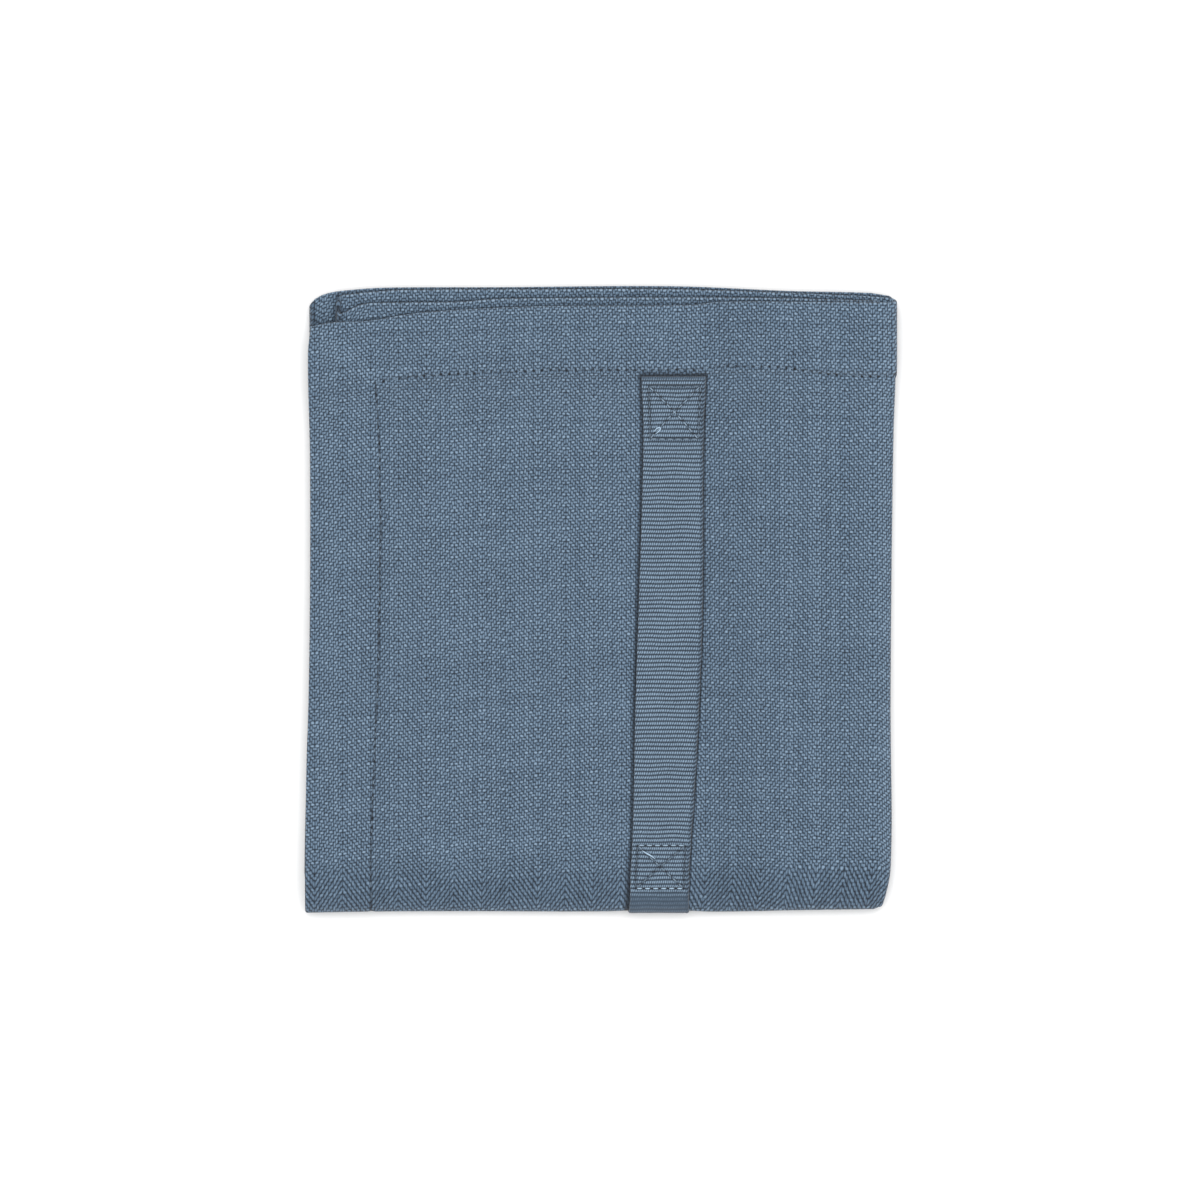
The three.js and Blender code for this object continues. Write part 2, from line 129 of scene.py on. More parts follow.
# The side fold: Y and X
SIDE_FOLD = (
    (-119, 113.6), (-112, 114.5), (-100, 115.1), (-83, 115.3), (-42, 114.9), (1, 115.2),
    (64, 116), (90, 116.9), (114, 117),
)

# The bottom fold: X and Y
BOTTOM_FOLD = (
    (-117, -123.7), (-104, -123.4), (-79, -123.1), (0, -123.1), (12, -122.8), (33, -122.8),
    (45, -123.2), (74, -122.8), (103, -122.3), (117, -122),
)

# The hemmed edge of each panel: X and Y
HEMMED_EDGE = {
    "front": {
        "flap": (
            (-114, 108.2), (-106, 109.8), (-92, 110.4), (-73, 113.4), (-52, 115),
            (-22, 116.2), (36, 116.7), (47, 117.9), (84, 117.9), (117, 117.6),
        ),
        "inner": (
            (-104, 112.6), (-101, 113.8), (-95, 116.7), (-89, 117.5), (-56, 117.9),
            (-39, 119.2), (58, 119.6), (117, 118.2),
        ),
        "base": (
            (-104, 120.4), (-86, 122.2), (-73, 122.7), (-20, 122.9), (30, 122.9),
            (96, 120.6), (117, 119.4),
        ),
    },
    "back": {
        "base": (
            (-114, 117.6), (-112, 119.6), (-107, 121.5), (-101, 122.4), (-86, 123.5),
            (-40, 123.7), (29, 124.1), (75, 122.2), (110, 121.3), (115, 119.9),
            (117, 117.2),
        ),
        "inner": ((-114, 116), (-108, 118.6), (-95, 120), (29, 120.6), (117, 117.4)),
        "flap": ((-114, 114.5), (29, 119), (105, 117.4), (117, 115.4)),
    },
}

# The two edges of the tape on the front: Y, left X and right X
TAPE_EDGES = (
    (-122, 11, 34.5), (-98, 12.7, 35.8), (-75, 13.4, 37.4), (-42, 14, 39.2),
    (0, 15.4, 40.6), (64, 17.2, 40.9), (89, 16.4, 42),
)

# How far the picks rise from left to right on the front: X, near the top and near the bottom
PICK_RISE = (
    (-117, -1.9, -1.9), (-100, 0, 0), (-86, 1.0, 1.3), (-71, 1.3, 2.3), (-57, 1.7, 3.4),
    (-43, 2.4, 4.5), (-30, 2.9, 5.6), (-16, 3.3, 6.7), (6, 3.5, 8.3), (30, 3.8, 9.3),
    (55, 4.8, 9.4), (68, 4.9, 9.1), (79, 4.6, 8.7), (99, 4.0, 8.3), (117, 3.9, 8.3),
)
PICKS_TOP, PICKS_BOTTOM = 67, -99  # the Y of those two

# The weave's place on the front: U less X, and the U of a turning place of the herringbone
WEAVE_LEFT = 114.7
WEAVE_START = 20.1
WEAVE_FADE = 60  # over which the shifts of its place fade out past the folds

# The ridge where the two hems' corner is turned under: from its corner to the stitches, X and Y
CORNER_RIDGE = ((-110.5, 105.0), (-88.0, 87.0))
CORNER_WIDE, CORNER_HEIGHT = 4, 0.3
CORNER_REACH = 100  # the ridge lies within this of both hems' edges
MIDDLE_HEIGHT = 7  # of the stack: above it lies the front

# Where the front gets painted light and shade: by Y down the bottom fold, and in two stripes by X
BEND_FROM, BEND_REACH = -98, 17  # from here down the bend opens the weave, and the cloth gets painted shade
LIP_FROM, LIP_REACH = -119.8, 2.6  # from here down it closes again
PAINTED_HIGHLIGHT_X, PAINTED_HIGHLIGHT_WIDE = 112, 5  # painted highlight along the side fold
PAINTED_SHADE_X, PAINTED_SHADE_WIDE = 52, 14  # painted shade right of the tape
FAR = 99.0  # under nothing, or nowhere near the tape

# The layers from the top one down, and which of them the parts of the sheet are on either half:
# flap, side fold, base, inner fold and inner flap
LAYERS = (
    ("front", "flap"), ("front", "inner"), ("front", "base"), ("back", "base"),
    ("back", "inner"), ("back", "flap"),
)
PART_LAYERS = {"front": (0, 0, 2, 1, 1), "back": (5, 3, 3, 4, 4)}
FLAP_PART, INNER_FOLD_PART = 0, 3
INNER_FOLD_OUT = 0.3  # how far out from under the layers the inner fold counts as lying, for its painted shade

# How far the hems' lines of stitches stray from the hem's width: place along them and stray
SIDE_LINE = ((26, 0.4), (55, 1.1), (85, 1.5), (150, 0.8), (215, -0.2), (240, -0.2))
END_LINE = (
    (26, -1.4), (34, -1.6), (64, -1.3), (115, -1.2), (165, -1.0), (186, -0.6), (198, 0.9),
    (206, 2.3), (216, 2.8),
)
SIDE_SEED, END_SEED = 21, 22  # of the small waver of each
LINE_WAVER = 0.35  # its size
SEAM_WIDE, SEAM_DEPTH = 0.9, 0.3  # of the trough that the stitches pull in
SEAM_BEFORE = 1.5  # how far before the other hem's line a trough starts
FLAP_SHARE = 0.352  # of the sheet's width that is the flap

# Threads of the stitches: sides of a ring and rings of a stitch, then how far the middle of a
# stitch lies above the cloth and its ends below it, and the places of its holes in a pitch
SIDES, RINGS = 6, 6
HEM_LIFT, HEM_SINK = -0.02, 0.42
HEM_HOLES = (0.13, 0.87)
HEM_PAINTED_LIGHT_TONES = (0.1, 0.42)  # between which each stitch's painted shade is drawn at random
BOX_LIFT, BOX_SINK = 0.24, 0.25
BOX_INSET = 0.42  # how far a stitch of the sewn boxes ends short of its holes
BOX_FAT, LOOSE_FAT = 1.35, 1.45  # how many times as thick it lies there and at loose ends

# Sewn boxes on the tape, from its left edge and from its upper end, with the threads' painted
# light, from painted shade at 0 to a painted highlight at 1, on the top, right, bottom and left
# sides and the two diagonals
SEWN_BOXES = (
    {"left": 2.6, "right": 22.4, "top": 3.9, "bottom": 25.4,
     "painted_light_tones": (0.2, 0.25, 0.4, 0.2, 0.55, 0.45)},
    {"left": 2.2, "right": 22.2, "top": 186.3, "bottom": 203.2,
     "painted_light_tones": (0.75, 0.1, 1.0, 0.1, 0.4, 0.25)},
)

# Loose ends of thread on the tape: across and along points
LOOSE_THREADS = (
    ((4.2, 22.6), (5.3, 21.4), (6.3, 20.9), (6.9, 21.4), (6.1, 22.5), (4.9, 23.4)),
    ((4.2, 188.4), (5.6, 189.2), (7.2, 190.0), (8.8, 190.9), (9.9, 191.7)),
)

# The weave's look
TURN_ENDS = 12.0  # ends after which the twill turns back
SWAYS = ((0.16, 0.8), (0.8, 0.58))  # how threads stray: waves in a millimetre, and threads
END_ROUND, END_HEIGHT = 0.3, 0.86  # power of the dome across an end, and its height
PICK_ROUND = 0.42  # power of the dome across a pick
SWELL = 0.7  # power of the dome along a float
PICK_GROOVE = (3.0, 0.1)  # power and depth of the groove between two picks
PAIR_GROOVE = (4.6, 0.42)  # and after every second end
LINE_POWER, LINE_HEIGHT = 1.6, 0.9  # the ridges along the twill lines
LINE_SHARE, BENT_SHARE = 0.12, 0.5  # how much they count, and how much more on a bend
THREAD_UNEVEN, CROSSING_UNEVEN = 0.2, 0.17  # how much threads and single floats differ
CONTRAST = 1.4  # power of the whole

# Painted light and shade on the cloth, as changes of its shade: painted shade under a layer, a
# painted shadow beside the tape, painted shade on the bend, a painted highlight at the hemmed
# edges, painted highlights along the side fold and the corner's ridge with painted shade right of
# the tape, and painted shade in a needle hole
UNDER_PAINTED_SHADE, BESIDE_TAPE_PAINTED_SHADOW, BEND_PAINTED_SHADE = -0.6, -0.8, -0.18
RIM_PAINTED_HIGHLIGHT, PAINTED_LIGHTNESS_CHANGE, HOLE_PAINTED_SHADE = 0.14, 0.12, -1.6

# Stage, in metres
FLOOR_REACH = 2.5  # from its middle to each side
FLOOR_DROP = 0.05 * MM  # how far it lies below the towel
KEY_PLACE = (0.03, 0.24, 1.6)
KEY_SIZE = 1.6
CAMERA_HEIGHT = 1.2


def length(name, description, default):
    """A length that a user can change, in metres."""
    return FloatProperty(name=name, description=description, default=default, unit="LENGTH")


def colour(name, description, default):
    """A colour that a user can change."""
    return FloatVectorProperty(
        name=name, description=description, default=default, subtype="COLOR"
    )


class ClothSettings(PropertyGroup):
    """The towel's cloth."""

    thickness: length("Thickness", "Of the woven cloth", 0.001)
    hem_thickness: length("Hem thickness", "Where the hem doubles it", 0.002)
    hem_width: length("Hem width", "From the edge to the stitches", 0.0265)
    ply_gap: length("Gap", "Between layers that lie on each other", 0.00035)
    front_loft: length("Front loft", "How far the front springs open at the bottom fold", 0.0014)
    back_loft: length("Back loft", "How far the back springs open at the bottom fold", 0.0008)
    crown: length("Crown", "Height of the front's soft bulge", 0.0024)
    end_pitch: length("End pitch", "Between the threads that run down the towel", 0.000919)
    pick_pitch: length("Pick pitch", "Between the threads that run across it", 0.001138)
    # The pores' colour is painted shade between the threads and the crests' colour a painted
    # highlight; the threads' colour is their own.
    dark: colour("Pores", "Colour between the threads", (0.0025, 0.004, 0.0075))
    middle: colour("Thread", "Colour of the threads", (0.067, 0.105, 0.153))
    light: colour(
        "Thread crests", "Colour where a thread stands out", (0.163, 0.230, 0.304)
    )


class TapeSettings(PropertyGroup):
    """The hanging tape."""

    thickness: length("Thickness", "Over the ribs", 0.001)
    rib_pitch: length("Rib pitch", "From rib to rib", 0.001645)
    rib_depth: length("Rib depth", "Of the groove between two ribs", 0.00032)
    bead_pitch: length("Bead pitch", "Between the threads that cross a rib", 0.00087)
    slack: length(
        "Slack", "How far it stands off the cloth between its sewn places", 0.0007
    )
    # The grooves' colour is painted shade between the ribs and the crests' colour a painted
    # highlight; the ribs' colour is their own.
    dark: colour("Grooves", "Colour between the ribs", (0.003, 0.006, 0.011))
    middle: colour("Rib", "Colour of the ribs", (0.036, 0.0585, 0.088))
    light: colour("Rib crests", "Colour where a rib stands out", (0.168, 0.238, 0.314))


class SewingSettings(PropertyGroup):
    """The sewing thread."""

    stitch: length("Stitch", "Length of one stitch", 0.0033)
    thread: length("Thread", "Thickness of the thread", 0.00042)
    # One thread: the sunk colour is its painted shade and the proud one its painted highlight.
    shaded: colour("Sunk thread", "Colour where the thread lies deep", (0.022, 0.036, 0.056))
    bright: colour("Proud thread", "Colour where the thread stands out", (0.27, 0.37, 0.47))


class StageSettings(PropertyGroup):
    """Floor, lights and camera."""

    picture_width: length("Picture width", "What the camera sees from side to side", 0.47448)
    floor: colour("Floor", "Colour of the floor", (0.77, 0.77, 0.77))
    key_power: FloatProperty(
        name="Key light", description="Power of the large soft light", default=30.0,
        unit="POWER",
    )
    sky: FloatProperty(
        name="Sky", description="Strength of the light from all sides", default=1.0
    )


def rise(s):
    """Smoothstep: 0 below 0, 1 above 1 and 3s^2 - 2s^3 between."""
    t = np.clip(s, 0, 1)
    return t * t * (3 - 2 * t)


def mix(a, b, share):
    """a + (b - a) times share."""
    return a + (b - a) * share


def along(table, at, column=1):
    """Cubic Hermite curve through a table's rows, held level past its ends.

    The slope at a row is the slope of the line between the rows before and after it.
    """
    rows = np.array(table, float)
    places = rows[:, 0]
    values = rows[:, column]
    last = len(places) - 1
    before = np.maximum(np.arange(last + 1) - 1, 0)
    after = np.minimum(np.arange(last + 1) + 1, last)
    slopes = (values[after] - values[before]) / (places[after] - places[before])
    place = np.clip(at, places[0], places[-1])
    k = np.clip(np.searchsorted(places, place) - 1, 0, last - 1)
    span = places[k + 1] - places[k]
    s = (place - places[k]) / span
    curve = mix(values[k], values[k + 1], s * s * (3 - 2 * s))
    return curve + slopes[k] * span * s * (1 - s) ** 2 - slopes[k + 1] * span * s * s * (1 - s)


def stops(*spans):
    """Places from the first span's start on: each span is (end, step) and is cut evenly."""
    places = [np.array([0.0])]
    for end, step in spans:
        start = places[-1][-1]
        count = max(1, round((end - start) / step))
        places.append(np.linspace(start, end, count + 1)[1:])
    return np.concatenate(places)


def rounded_stops(radius):
    """Places on a rounded edge: radius times 1 - cos of six angles up to a right one."""
    return radius * (1 - np.cos(np.radians([8, 24, 40, 56, 72, 90])))


def unit(vectors):
    """Vectors of length 1."""
    return vectors / np.maximum(np.linalg.norm(vectors, axis=-1, keepdims=True), 1e-12)


class TowelFold:
    """The folded towel as functions of place, in millimetres, for arrays of any shape.

    Across X the sheet runs as flap, base and inner flap, a fold in thirds. Along Y that stack is
    folded in half round the bottom fold, so each panel lies in the front half and again, turned
    over, in the back half. Each panel has a level, its distance from the plane between the
    halves: the sum of the cloth and the gaps under it.
    """

    def __init__(self, cloth):
        self.cloth = cloth.thickness / MM
        self.hem = cloth.hem_thickness / MM
        self.hem_width = cloth.hem_width / MM
        self.gap = cloth.ply_gap / MM
        self.loft = {"front": cloth.front_loft / MM, "back": cloth.back_loft / MM}
        self.crown = cloth.crown / MM

    def side_x(self, y, tuck):
        """X of the side fold's outer face, less what the corner of the two folds tucks in."""
        return along(SIDE_FOLD, y) - tuck

    def squared(self, x, y, tuck):
        """X right of SQUARE_X is stretched in step with the side fold, linearly."""
        share = (self.side_x(y, tuck) - SQUARE_X) / (SIDE_X - SQUARE_X)
        return np.where(x < SQUARE_X, x, SQUARE_X + (x - SQUARE_X) * share)

    def in_hem(self, distance, step):
        """1 inside the hem and 0 in the field, smoothly over the step."""
        return 1 - rise((distance - self.hem_width) / step)

    def thickness(self, panel, half, x, y, tuck, step):
        """Cloth to hem thickness, by the nearer of the hems that the panel has."""
        share = self.in_hem(along(HEMMED_EDGE[half][panel], x) - y, step)
        if panel == "flap":
            share = np.maximum(share, self.in_hem(x - along(FLAP_EDGE[half], y), step))
        if panel == "inner":
            end = self.squared(INNER_END, y, tuck)
            share = np.maximum(share, self.in_hem(end - x, step))
        return mix(self.cloth, self.hem, share)

    def near_turn_y(self, x):
        """About where the bottom fold starts to turn."""
        return along(BOTTOM_FOLD, x) + TURN_HEIGHT

    def turn_y(self, x, tuck):
        """Y of the turn's centre.

        The fold's line plus the flap's half thickness and its reach, TURN_REACH times the mean
        of its two levels.
        """
        near = self.near_turn_y(x)
        cover = self.thickness("flap", "front", x, near, tuck, HEM_STEP) / 2
        both = [self.levels(half, x, near, tuck)["flap"] for half in ("front", "back")]
        return near - TURN_HEIGHT + TURN_REACH * (both[0] + both[1]) / 2 + cover

    def levels(self, half, x, y, tuck):
        """Levels of the three panels.

        Each is the one below plus half of both rooms and a gap. The bottom fold's loft fades up
        the towel. In the front half a Gaussian crown is shared out as air between the layers,
        and the flap also sinks past the inner flap's fold.
        """
        room = {
            name: self.thickness(name, half, x, y, tuck, HEM_RAMP)
            for name in ("base", "inner", "flap")
        }
        up = rise((y - self.near_turn_y(x)) / FOLD_LOFT_REACH)
        air = 0
        if half == "front":
            across = (x - CROWN_X) / CROWN_WIDE
            down = (y - CROWN_Y) / CROWN_LONG
            air = self.crown * np.exp(-across * across - down * down) * up / 3
        base = self.gap / 2 + room["base"] / 2 + self.loft[half] * (1 - up) + air
        inner = base + room["base"] / 2 + self.gap + air + room["inner"] / 2
        end = self.squared(INNER_END, y, tuck)
        side = SIDE_DROP * rise((x - end) / (self.side_x(y, tuck) - end))
        flap = inner + room["inner"] / 2 + self.gap + air + room["flap"] / 2 - side
        if half == "front":
            beyond = along(INNER_FOLD["front"], y) - x
            flap = flap - OVERHANG_DROP * up * rise(beyond / OVERHANG_REACH)
        return {"base": base, "inner": inner, "flap": flap}

    def tail_lift(self, x, y):
        """How far the tape's tail lifts the cloth: its room, fading out beside and beyond it."""
        beside = np.maximum(TAIL_LEFT - x, x - TAIL_RIGHT) - CHANNEL_CLEAR
        beyond = y - TAPE_END - CHANNEL_CLEAR
        away = np.maximum(beside, beyond) / (CHANNEL_SIDE - CHANNEL_CLEAR)
        return TAPE_BED * (1 - rise(away))

    def middle_z(self, x, y, tuck):
        """Height of the plane between the halves: the back flap's level, half cloth and lift."""
        under = self.thickness("flap", "back", x, y, tuck, HEM_STEP) / 2
        return self.levels("back", x, y, tuck)["flap"] + under + self.tail_lift(x, y)

    def side_turn(self, half, y, tuck):
        """Where the side fold starts, its radius and its middle level."""
        x = self.side_x(y, tuck)
        level = self.levels(half, x, y, tuck)
        radius = (level["flap"] - level["base"]) / 2
        start = x - self.cloth / 2 - radius * SIDE_ROUND
        return start, radius, (level["flap"] + level["base"]) / 2

    def inner_turn(self, half, y, tuck):
        """Where the inner flap's fold starts, its reach, its radius and its middle level.

        It reaches sideways by its radius, and by up to TURN_REACH times that on the turn.
        """
        x = along(INNER_FOLD[half], y)
        level = self.levels(half, x, y, tuck)
        radius = (level["inner"] - level["base"]) / 2
        reach = radius * mix(1, TURN_REACH, tuck / CORNER_TUCK)
        return x + self.cloth / 2 + reach, reach, radius, (level["inner"] + level["base"]) / 2

    def panel(self, name, half, x, y, tuck):
        """X, level, hemmed edge and thickness on a flat panel."""
        level = self.levels(half, x, y, tuck)[name]
        edge = along(HEMMED_EDGE[half][name], x)
        return x, level, edge, self.thickness(name, half, x, y, tuck, HEM_STEP)

    def turn(self, name, half, x, level, y, tuck, share):
        """The same on a turn between the named outer panel and the base."""
        outer = along(HEMMED_EDGE[half][name], x)
        edge = mix(outer, along(HEMMED_EDGE[half]["base"], x), share)
        carried = "flap" if name == "flap" else "base"
        return x, level, edge, self.thickness(carried, half, x, y, tuck, HEM_STEP)

    def grid(self, columns, front_y, angles, back_y):
        """Middle of the cloth and its half thickness: columns by rows.

        Rows run down the front, round the bottom fold by its angles and up the back. On the
        turn Y is the centre less TURN_REACH times level times sine, and Z the middle plus level
        times cosine.
        """
        parts = []
        for half, sign, y in (("front", 1, front_y), ("back", -1, back_y)):
            x, level, _, thick = columns.section(half, y, 0)
            parts.append((x, y, self.middle_z(x, y, 0) + sign * level, thick / 2))
        tuck = CORNER_TUCK * np.sin(angles) ** 1.5
        low = np.full((columns.count, len(angles)), float(LOW_Y))
        start = self.turn_y(columns.section("front", low, tuck)[0], tuck)
        front_x, front_level, _, thick = columns.section("front", start, tuck)
        back_x, back_level, _, _ = columns.section("back", start, tuck)
        share = (1 - np.cos(angles)) / 2
        x = mix(front_x, back_x, share)
        level = mix(front_level, back_level, share)
        y = self.turn_y(x, tuck) - TURN_REACH * level * np.sin(angles)
        z = self.middle_z(x, start, tuck) + level * np.cos(angles)
        parts.insert(1, (x, y, z, thick / 2))
        joined = [np.concatenate(values, axis=1) for values in zip(*parts)]
        return np.stack(joined[:3], axis=-1), joined[3]

    def turn_start(self, columns):
        """Y at which each column starts to turn."""
        low = np.full((columns.count, 1), float(LOW_Y))
        return self.turn_y(columns.section("front", low, 0)[0], 0)

    def hemmed_y(self, columns, half):
        """Y of the hemmed edge of each column."""
        edge = columns.section(half, np.full((columns.count, 1), float(HIGH_Y)), 0)[2]
        return columns.section(half, edge, 0)[2]


class ClothColumns:
    """The sheet's columns, from the flap's free hem round to the inner flap's free hem."""

    def __init__(self, fold, flap, side, base, inner_turn, inner):
        self.fold = fold
        self.flap = flap[:, None]
        self.side = side[:, None]
        self.base = base[:, None]
        self.inner_turn = inner_turn[:, None]
        self.inner = inner[:, None]
        sizes = [len(part) for part in (flap, side, base, inner_turn, inner)]
        self.cuts = np.cumsum(sizes)[:-1]
        self.count = sum(sizes)

    def section(self, half, y, tuck):
        """Cross-section at Y: X, level, hemmed edge and thickness of every column.

        Flap columns keep their distance from the free hem near it and stretch evenly beyond.
        The two turns are half circles, and base and inner flap columns are shares of their
        width.
        """
        fold = self.fold
        flap_y, side_y, base_y, turn_y, inner_y = np.split(y, self.cuts)
        edge = along(FLAP_EDGE[half], flap_y)
        width = fold.side_turn(half, flap_y, tuck)[0] - edge
        full = self.flap[-1, 0] + FLAP_STEP
        more = (width - full) * rise((self.flap - EVEN_ACROSS) / (full - EVEN_ACROSS))
        parts = [fold.panel("flap", half, edge + self.flap + more, flap_y, tuck)]

        start, radius, middle = fold.side_turn(half, side_y, tuck)
        x = start + radius * SIDE_ROUND * np.sin(self.side)
        level = middle + radius * np.cos(self.side)
        share = (1 - np.cos(self.side)) / 2
        parts.append(fold.turn("flap", half, x, level, side_y, tuck, share))

        right = fold.side_turn(half, base_y, tuck)[0]
        left = fold.inner_turn(half, base_y, tuck)[0]
        parts.append(fold.panel("base", half, mix(right, left, self.base), base_y, tuck))

        start, reach, radius, middle = fold.inner_turn(half, turn_y, tuck)
        x = start - reach * np.sin(self.inner_turn)
        level = middle + radius * np.cos(self.inner_turn)
        share = (1 - np.cos(self.inner_turn)) / 2
        parts.append(fold.turn("inner", half, x, level, turn_y, tuck, share))

        left = fold.inner_turn(half, inner_y, tuck)[0]
        right = fold.squared(INNER_END, inner_y, tuck)
        width = self.inner[-1, 0]
        x = right - (width - self.inner) * (right - left) / width
        parts.append(fold.panel("inner", half, x, inner_y, tuck))
        return [np.concatenate(values) for values in zip(*parts)]


class TapeColumns:
    """Columns under the tape: even shares between its two edges, on the flap."""

    def __init__(self, fold, shares):
        self.fold = fold
        self.shares = shares[:, None]
        self.count = len(shares)

    def section(self, half, y, tuck):
        """X is the share between the tape's edges; the rest is the flap's."""
        left = along(TAPE_EDGES, y, 1) if half == "front" else TAIL_LEFT
        right = along(TAPE_EDGES, y, 2) if half == "front" else TAIL_RIGHT
        x = mix(left, right, self.shares) + 0 * y
        return self.fold.panel("flap", half, x, y, tuck)


def grid_normals(points):
    """Unit normals of a grid: the direction down the rows crossed with the one across."""
    across = np.empty_like(points)
    across[1:-1] = points[2:] - points[:-2]
    across[0] = points[1] - points[0]
    across[-1] = points[-1] - points[-2]
    down = np.empty_like(points)
    down[:, 1:-1] = points[:, 2:] - points[:, :-2]
    down[:, 0] = points[:, 1] - points[:, 0]
    down[:, -1] = points[:, -1] - points[:, -2]
    return unit(np.cross(down, across))


def mean_lengths(points, axis):
    """Length run along an axis of a grid, as the mean over its lines, starting at 0."""
    steps = np.linalg.norm(np.diff(points, axis=axis), axis=-1)
    return np.concatenate([[0], np.cumsum(steps.mean(axis=1 - axis))])


class Surface:
    """A grid of points with normals over the flat coordinates of its columns and rows."""

    def __init__(self, points, normals, across, down):
        self.points = points
        self.normals = normals
        self.across = across
        self.down = down

    def at(self, u, v):
        """Point and normal at flat coordinates, bilinear between the four nearest."""
        i = np.clip(np.searchsorted(self.across, u) - 1, 0, len(self.across) - 2)
        j = np.clip(np.searchsorted(self.down, v) - 1, 0, len(self.down) - 2)
        s = ((u - self.across[i]) / (self.across[i + 1] - self.across[i]))[..., None]
        t = ((v - self.down[j]) / (self.down[j + 1] - self.down[j]))[..., None]
        both = []
        for values in (self.points, self.normals):
            upper = mix(values[i, j], values[i + 1, j], s)
            lower = mix(values[i, j + 1], values[i + 1, j + 1], s)
            both.append(mix(upper, lower, t))
        return both[0], unit(both[1])


def solid_quads(columns, rows):
    """Faces of a closed solid between two grids that face away from each other."""
    index = np.arange(columns * rows).reshape(columns, rows)
    under = index + columns * rows
    a, b, c, d = index[:-1, :-1], index[:-1, 1:], index[1:, 1:], index[1:, :-1]
    top = np.stack([a, b, c, d], axis=-1).reshape(-1, 4)
    a, b, c, d = under[:-1, :-1], under[1:, :-1], under[1:, 1:], under[:-1, 1:]
    bottom = np.stack([a, b, c, d], axis=-1).reshape(-1, 4)
    sides = [
        np.stack([index[:-1, 0], index[1:, 0], under[1:, 0], under[:-1, 0]], axis=-1),
        np.stack([index[:-1, -1], under[:-1, -1], under[1:, -1], index[1:, -1]], axis=-1),
        np.stack([index[0, :-1], under[0, :-1], under[0, 1:], index[0, 1:]], axis=-1),
        np.stack([index[-1, :-1], index[-1, 1:], under[-1, 1:], under[-1, :-1]], axis=-1),
    ]
    return np.concatenate([top, bottom, *sides])


def add_piece(name, points, quads, flat=None, marks=None):
    """A smooth mesh object from points in millimetres, with a flat UV map in metres."""
    mesh = bpy.data.meshes.new(name)
    mesh.vertices.add(len(points))
    mesh.vertices.foreach_set("co", (points * MM).astype(np.float32).ravel())
    mesh.loops.add(quads.size)
    mesh.loops.foreach_set("vertex_index", quads.astype(np.int32).ravel())
    mesh.polygons.add(len(quads))
    mesh.polygons.foreach_set("loop_start", np.arange(0, quads.size, 4, dtype=np.int32))
    mesh.polygons.foreach_set("use_smooth", np.ones(len(quads), bool))
    mesh.update(calc_edges=True)
    if flat is not None:
        layer = mesh.uv_layers.new(name="flat")
        corners = (flat * MM).astype(np.float32)[quads.ravel()]
        layer.data.foreach_set("uv", corners.ravel())
    for mark, values in (marks or {}).items():
        attribute = mesh.attributes.new(mark, "FLOAT", "POINT")
        attribute.data.foreach_set("value", values.astype(np.float32))
    piece = bpy.data.objects.new(name, mesh)
    bpy.context.scene.collection.objects.link(piece)
    return piece


def soft_noise(u, v, seed, reach):
    """Smooth unevenness from -1 to 1: the mean of six waves of about the given reach.

    Each wave is the sine of a plane wave with a random direction, length and start.
    """
    random = np.random.default_rng(seed)
    total = 0
    for angle, stretch, start in random.uniform(0, 1, (6, 3)):
        turn = math.tau * angle
        wavelength = reach * (0.7 + 0.9 * stretch)
        wave = (u * math.cos(turn) + v * math.sin(turn)) / wavelength
        total = total + np.sin(math.tau * (wave + start))
    return total / 6


class Cloth:
    """Both faces of the folded cloth over the lengths of its columns and rows.

    across and down are those lengths, from_side and from_end the distances from the nearest
    edges, side_line and end_line the distances from the hems' lines of stitches, out the
    distance out from under the layers above, which sets painted shade, margin the distance from
    the tape, which sets a painted shadow, bend how far the bottom fold opens the weave and
    paints shade, pale a painted highlight beside the side fold and on the corner's
    ridge, or below 0 painted shade right of the tape, and flat the weave's own coordinates.
    """


def pick_rise(x, y):
    """How far a pick has risen at X: the two columns of PICK_RISE, mixed linearly by Y."""
    share = np.clip((y - PICKS_BOTTOM) / (PICKS_TOP - PICKS_BOTTOM), 0, 1)
    return mix(along(PICK_RISE, x, 2), along(PICK_RISE, x, 1), share)


def weave_places(middle, across, down, flap_count, front_count):
    """Flat coordinates of the weave.

    They are the lengths across and down. On the front U is moved to X plus a constant, and V by
    how far a point lies above its row's mean place, less the picks' rise. Both shifts fade out
    smoothly round the side fold and behind the bottom fold.
    """
    x = middle[:flap_count, :front_count, 0]
    y = middle[:flap_count, :front_count, 1]
    shift_u = x + WEAVE_LEFT - across[:flap_count, None]
    shift_v = y.mean(axis=0) - y + pick_rise(x, y) - pick_rise(0, y.mean(axis=0))
    beyond = ((0, len(across) - flap_count), (0, len(down) - front_count))
    fade = (1 - rise((across - across[flap_count - 1]) / WEAVE_FADE))[:, None]
    fade = fade * (1 - rise((down - down[front_count - 1]) / WEAVE_FADE))
    u = across[:, None] + fade * np.pad(shift_u, beyond, mode="edge")
    v = down + fade * np.pad(shift_v, beyond, mode="edge")
    return np.stack([u, v], axis=-1)


def out_from_under(x, y, layer):
    """How far a place lies out from under the layers above its own, seen from above.

    It is out of a layer by how far it lies beyond the hemmed edge or left of the left one.
    """
    out = np.full(x.shape, FAR)
    for k, (half, name) in enumerate(LAYERS[:-1]):
        left = FLAP_EDGE[half] if name == "flap" else INNER_FOLD[half]
        beyond = np.maximum(y - along(HEMMED_EDGE[half][name], x), along(left, y) - x)
        out = np.where(layer > k, np.minimum(out, beyond), out)
    return out


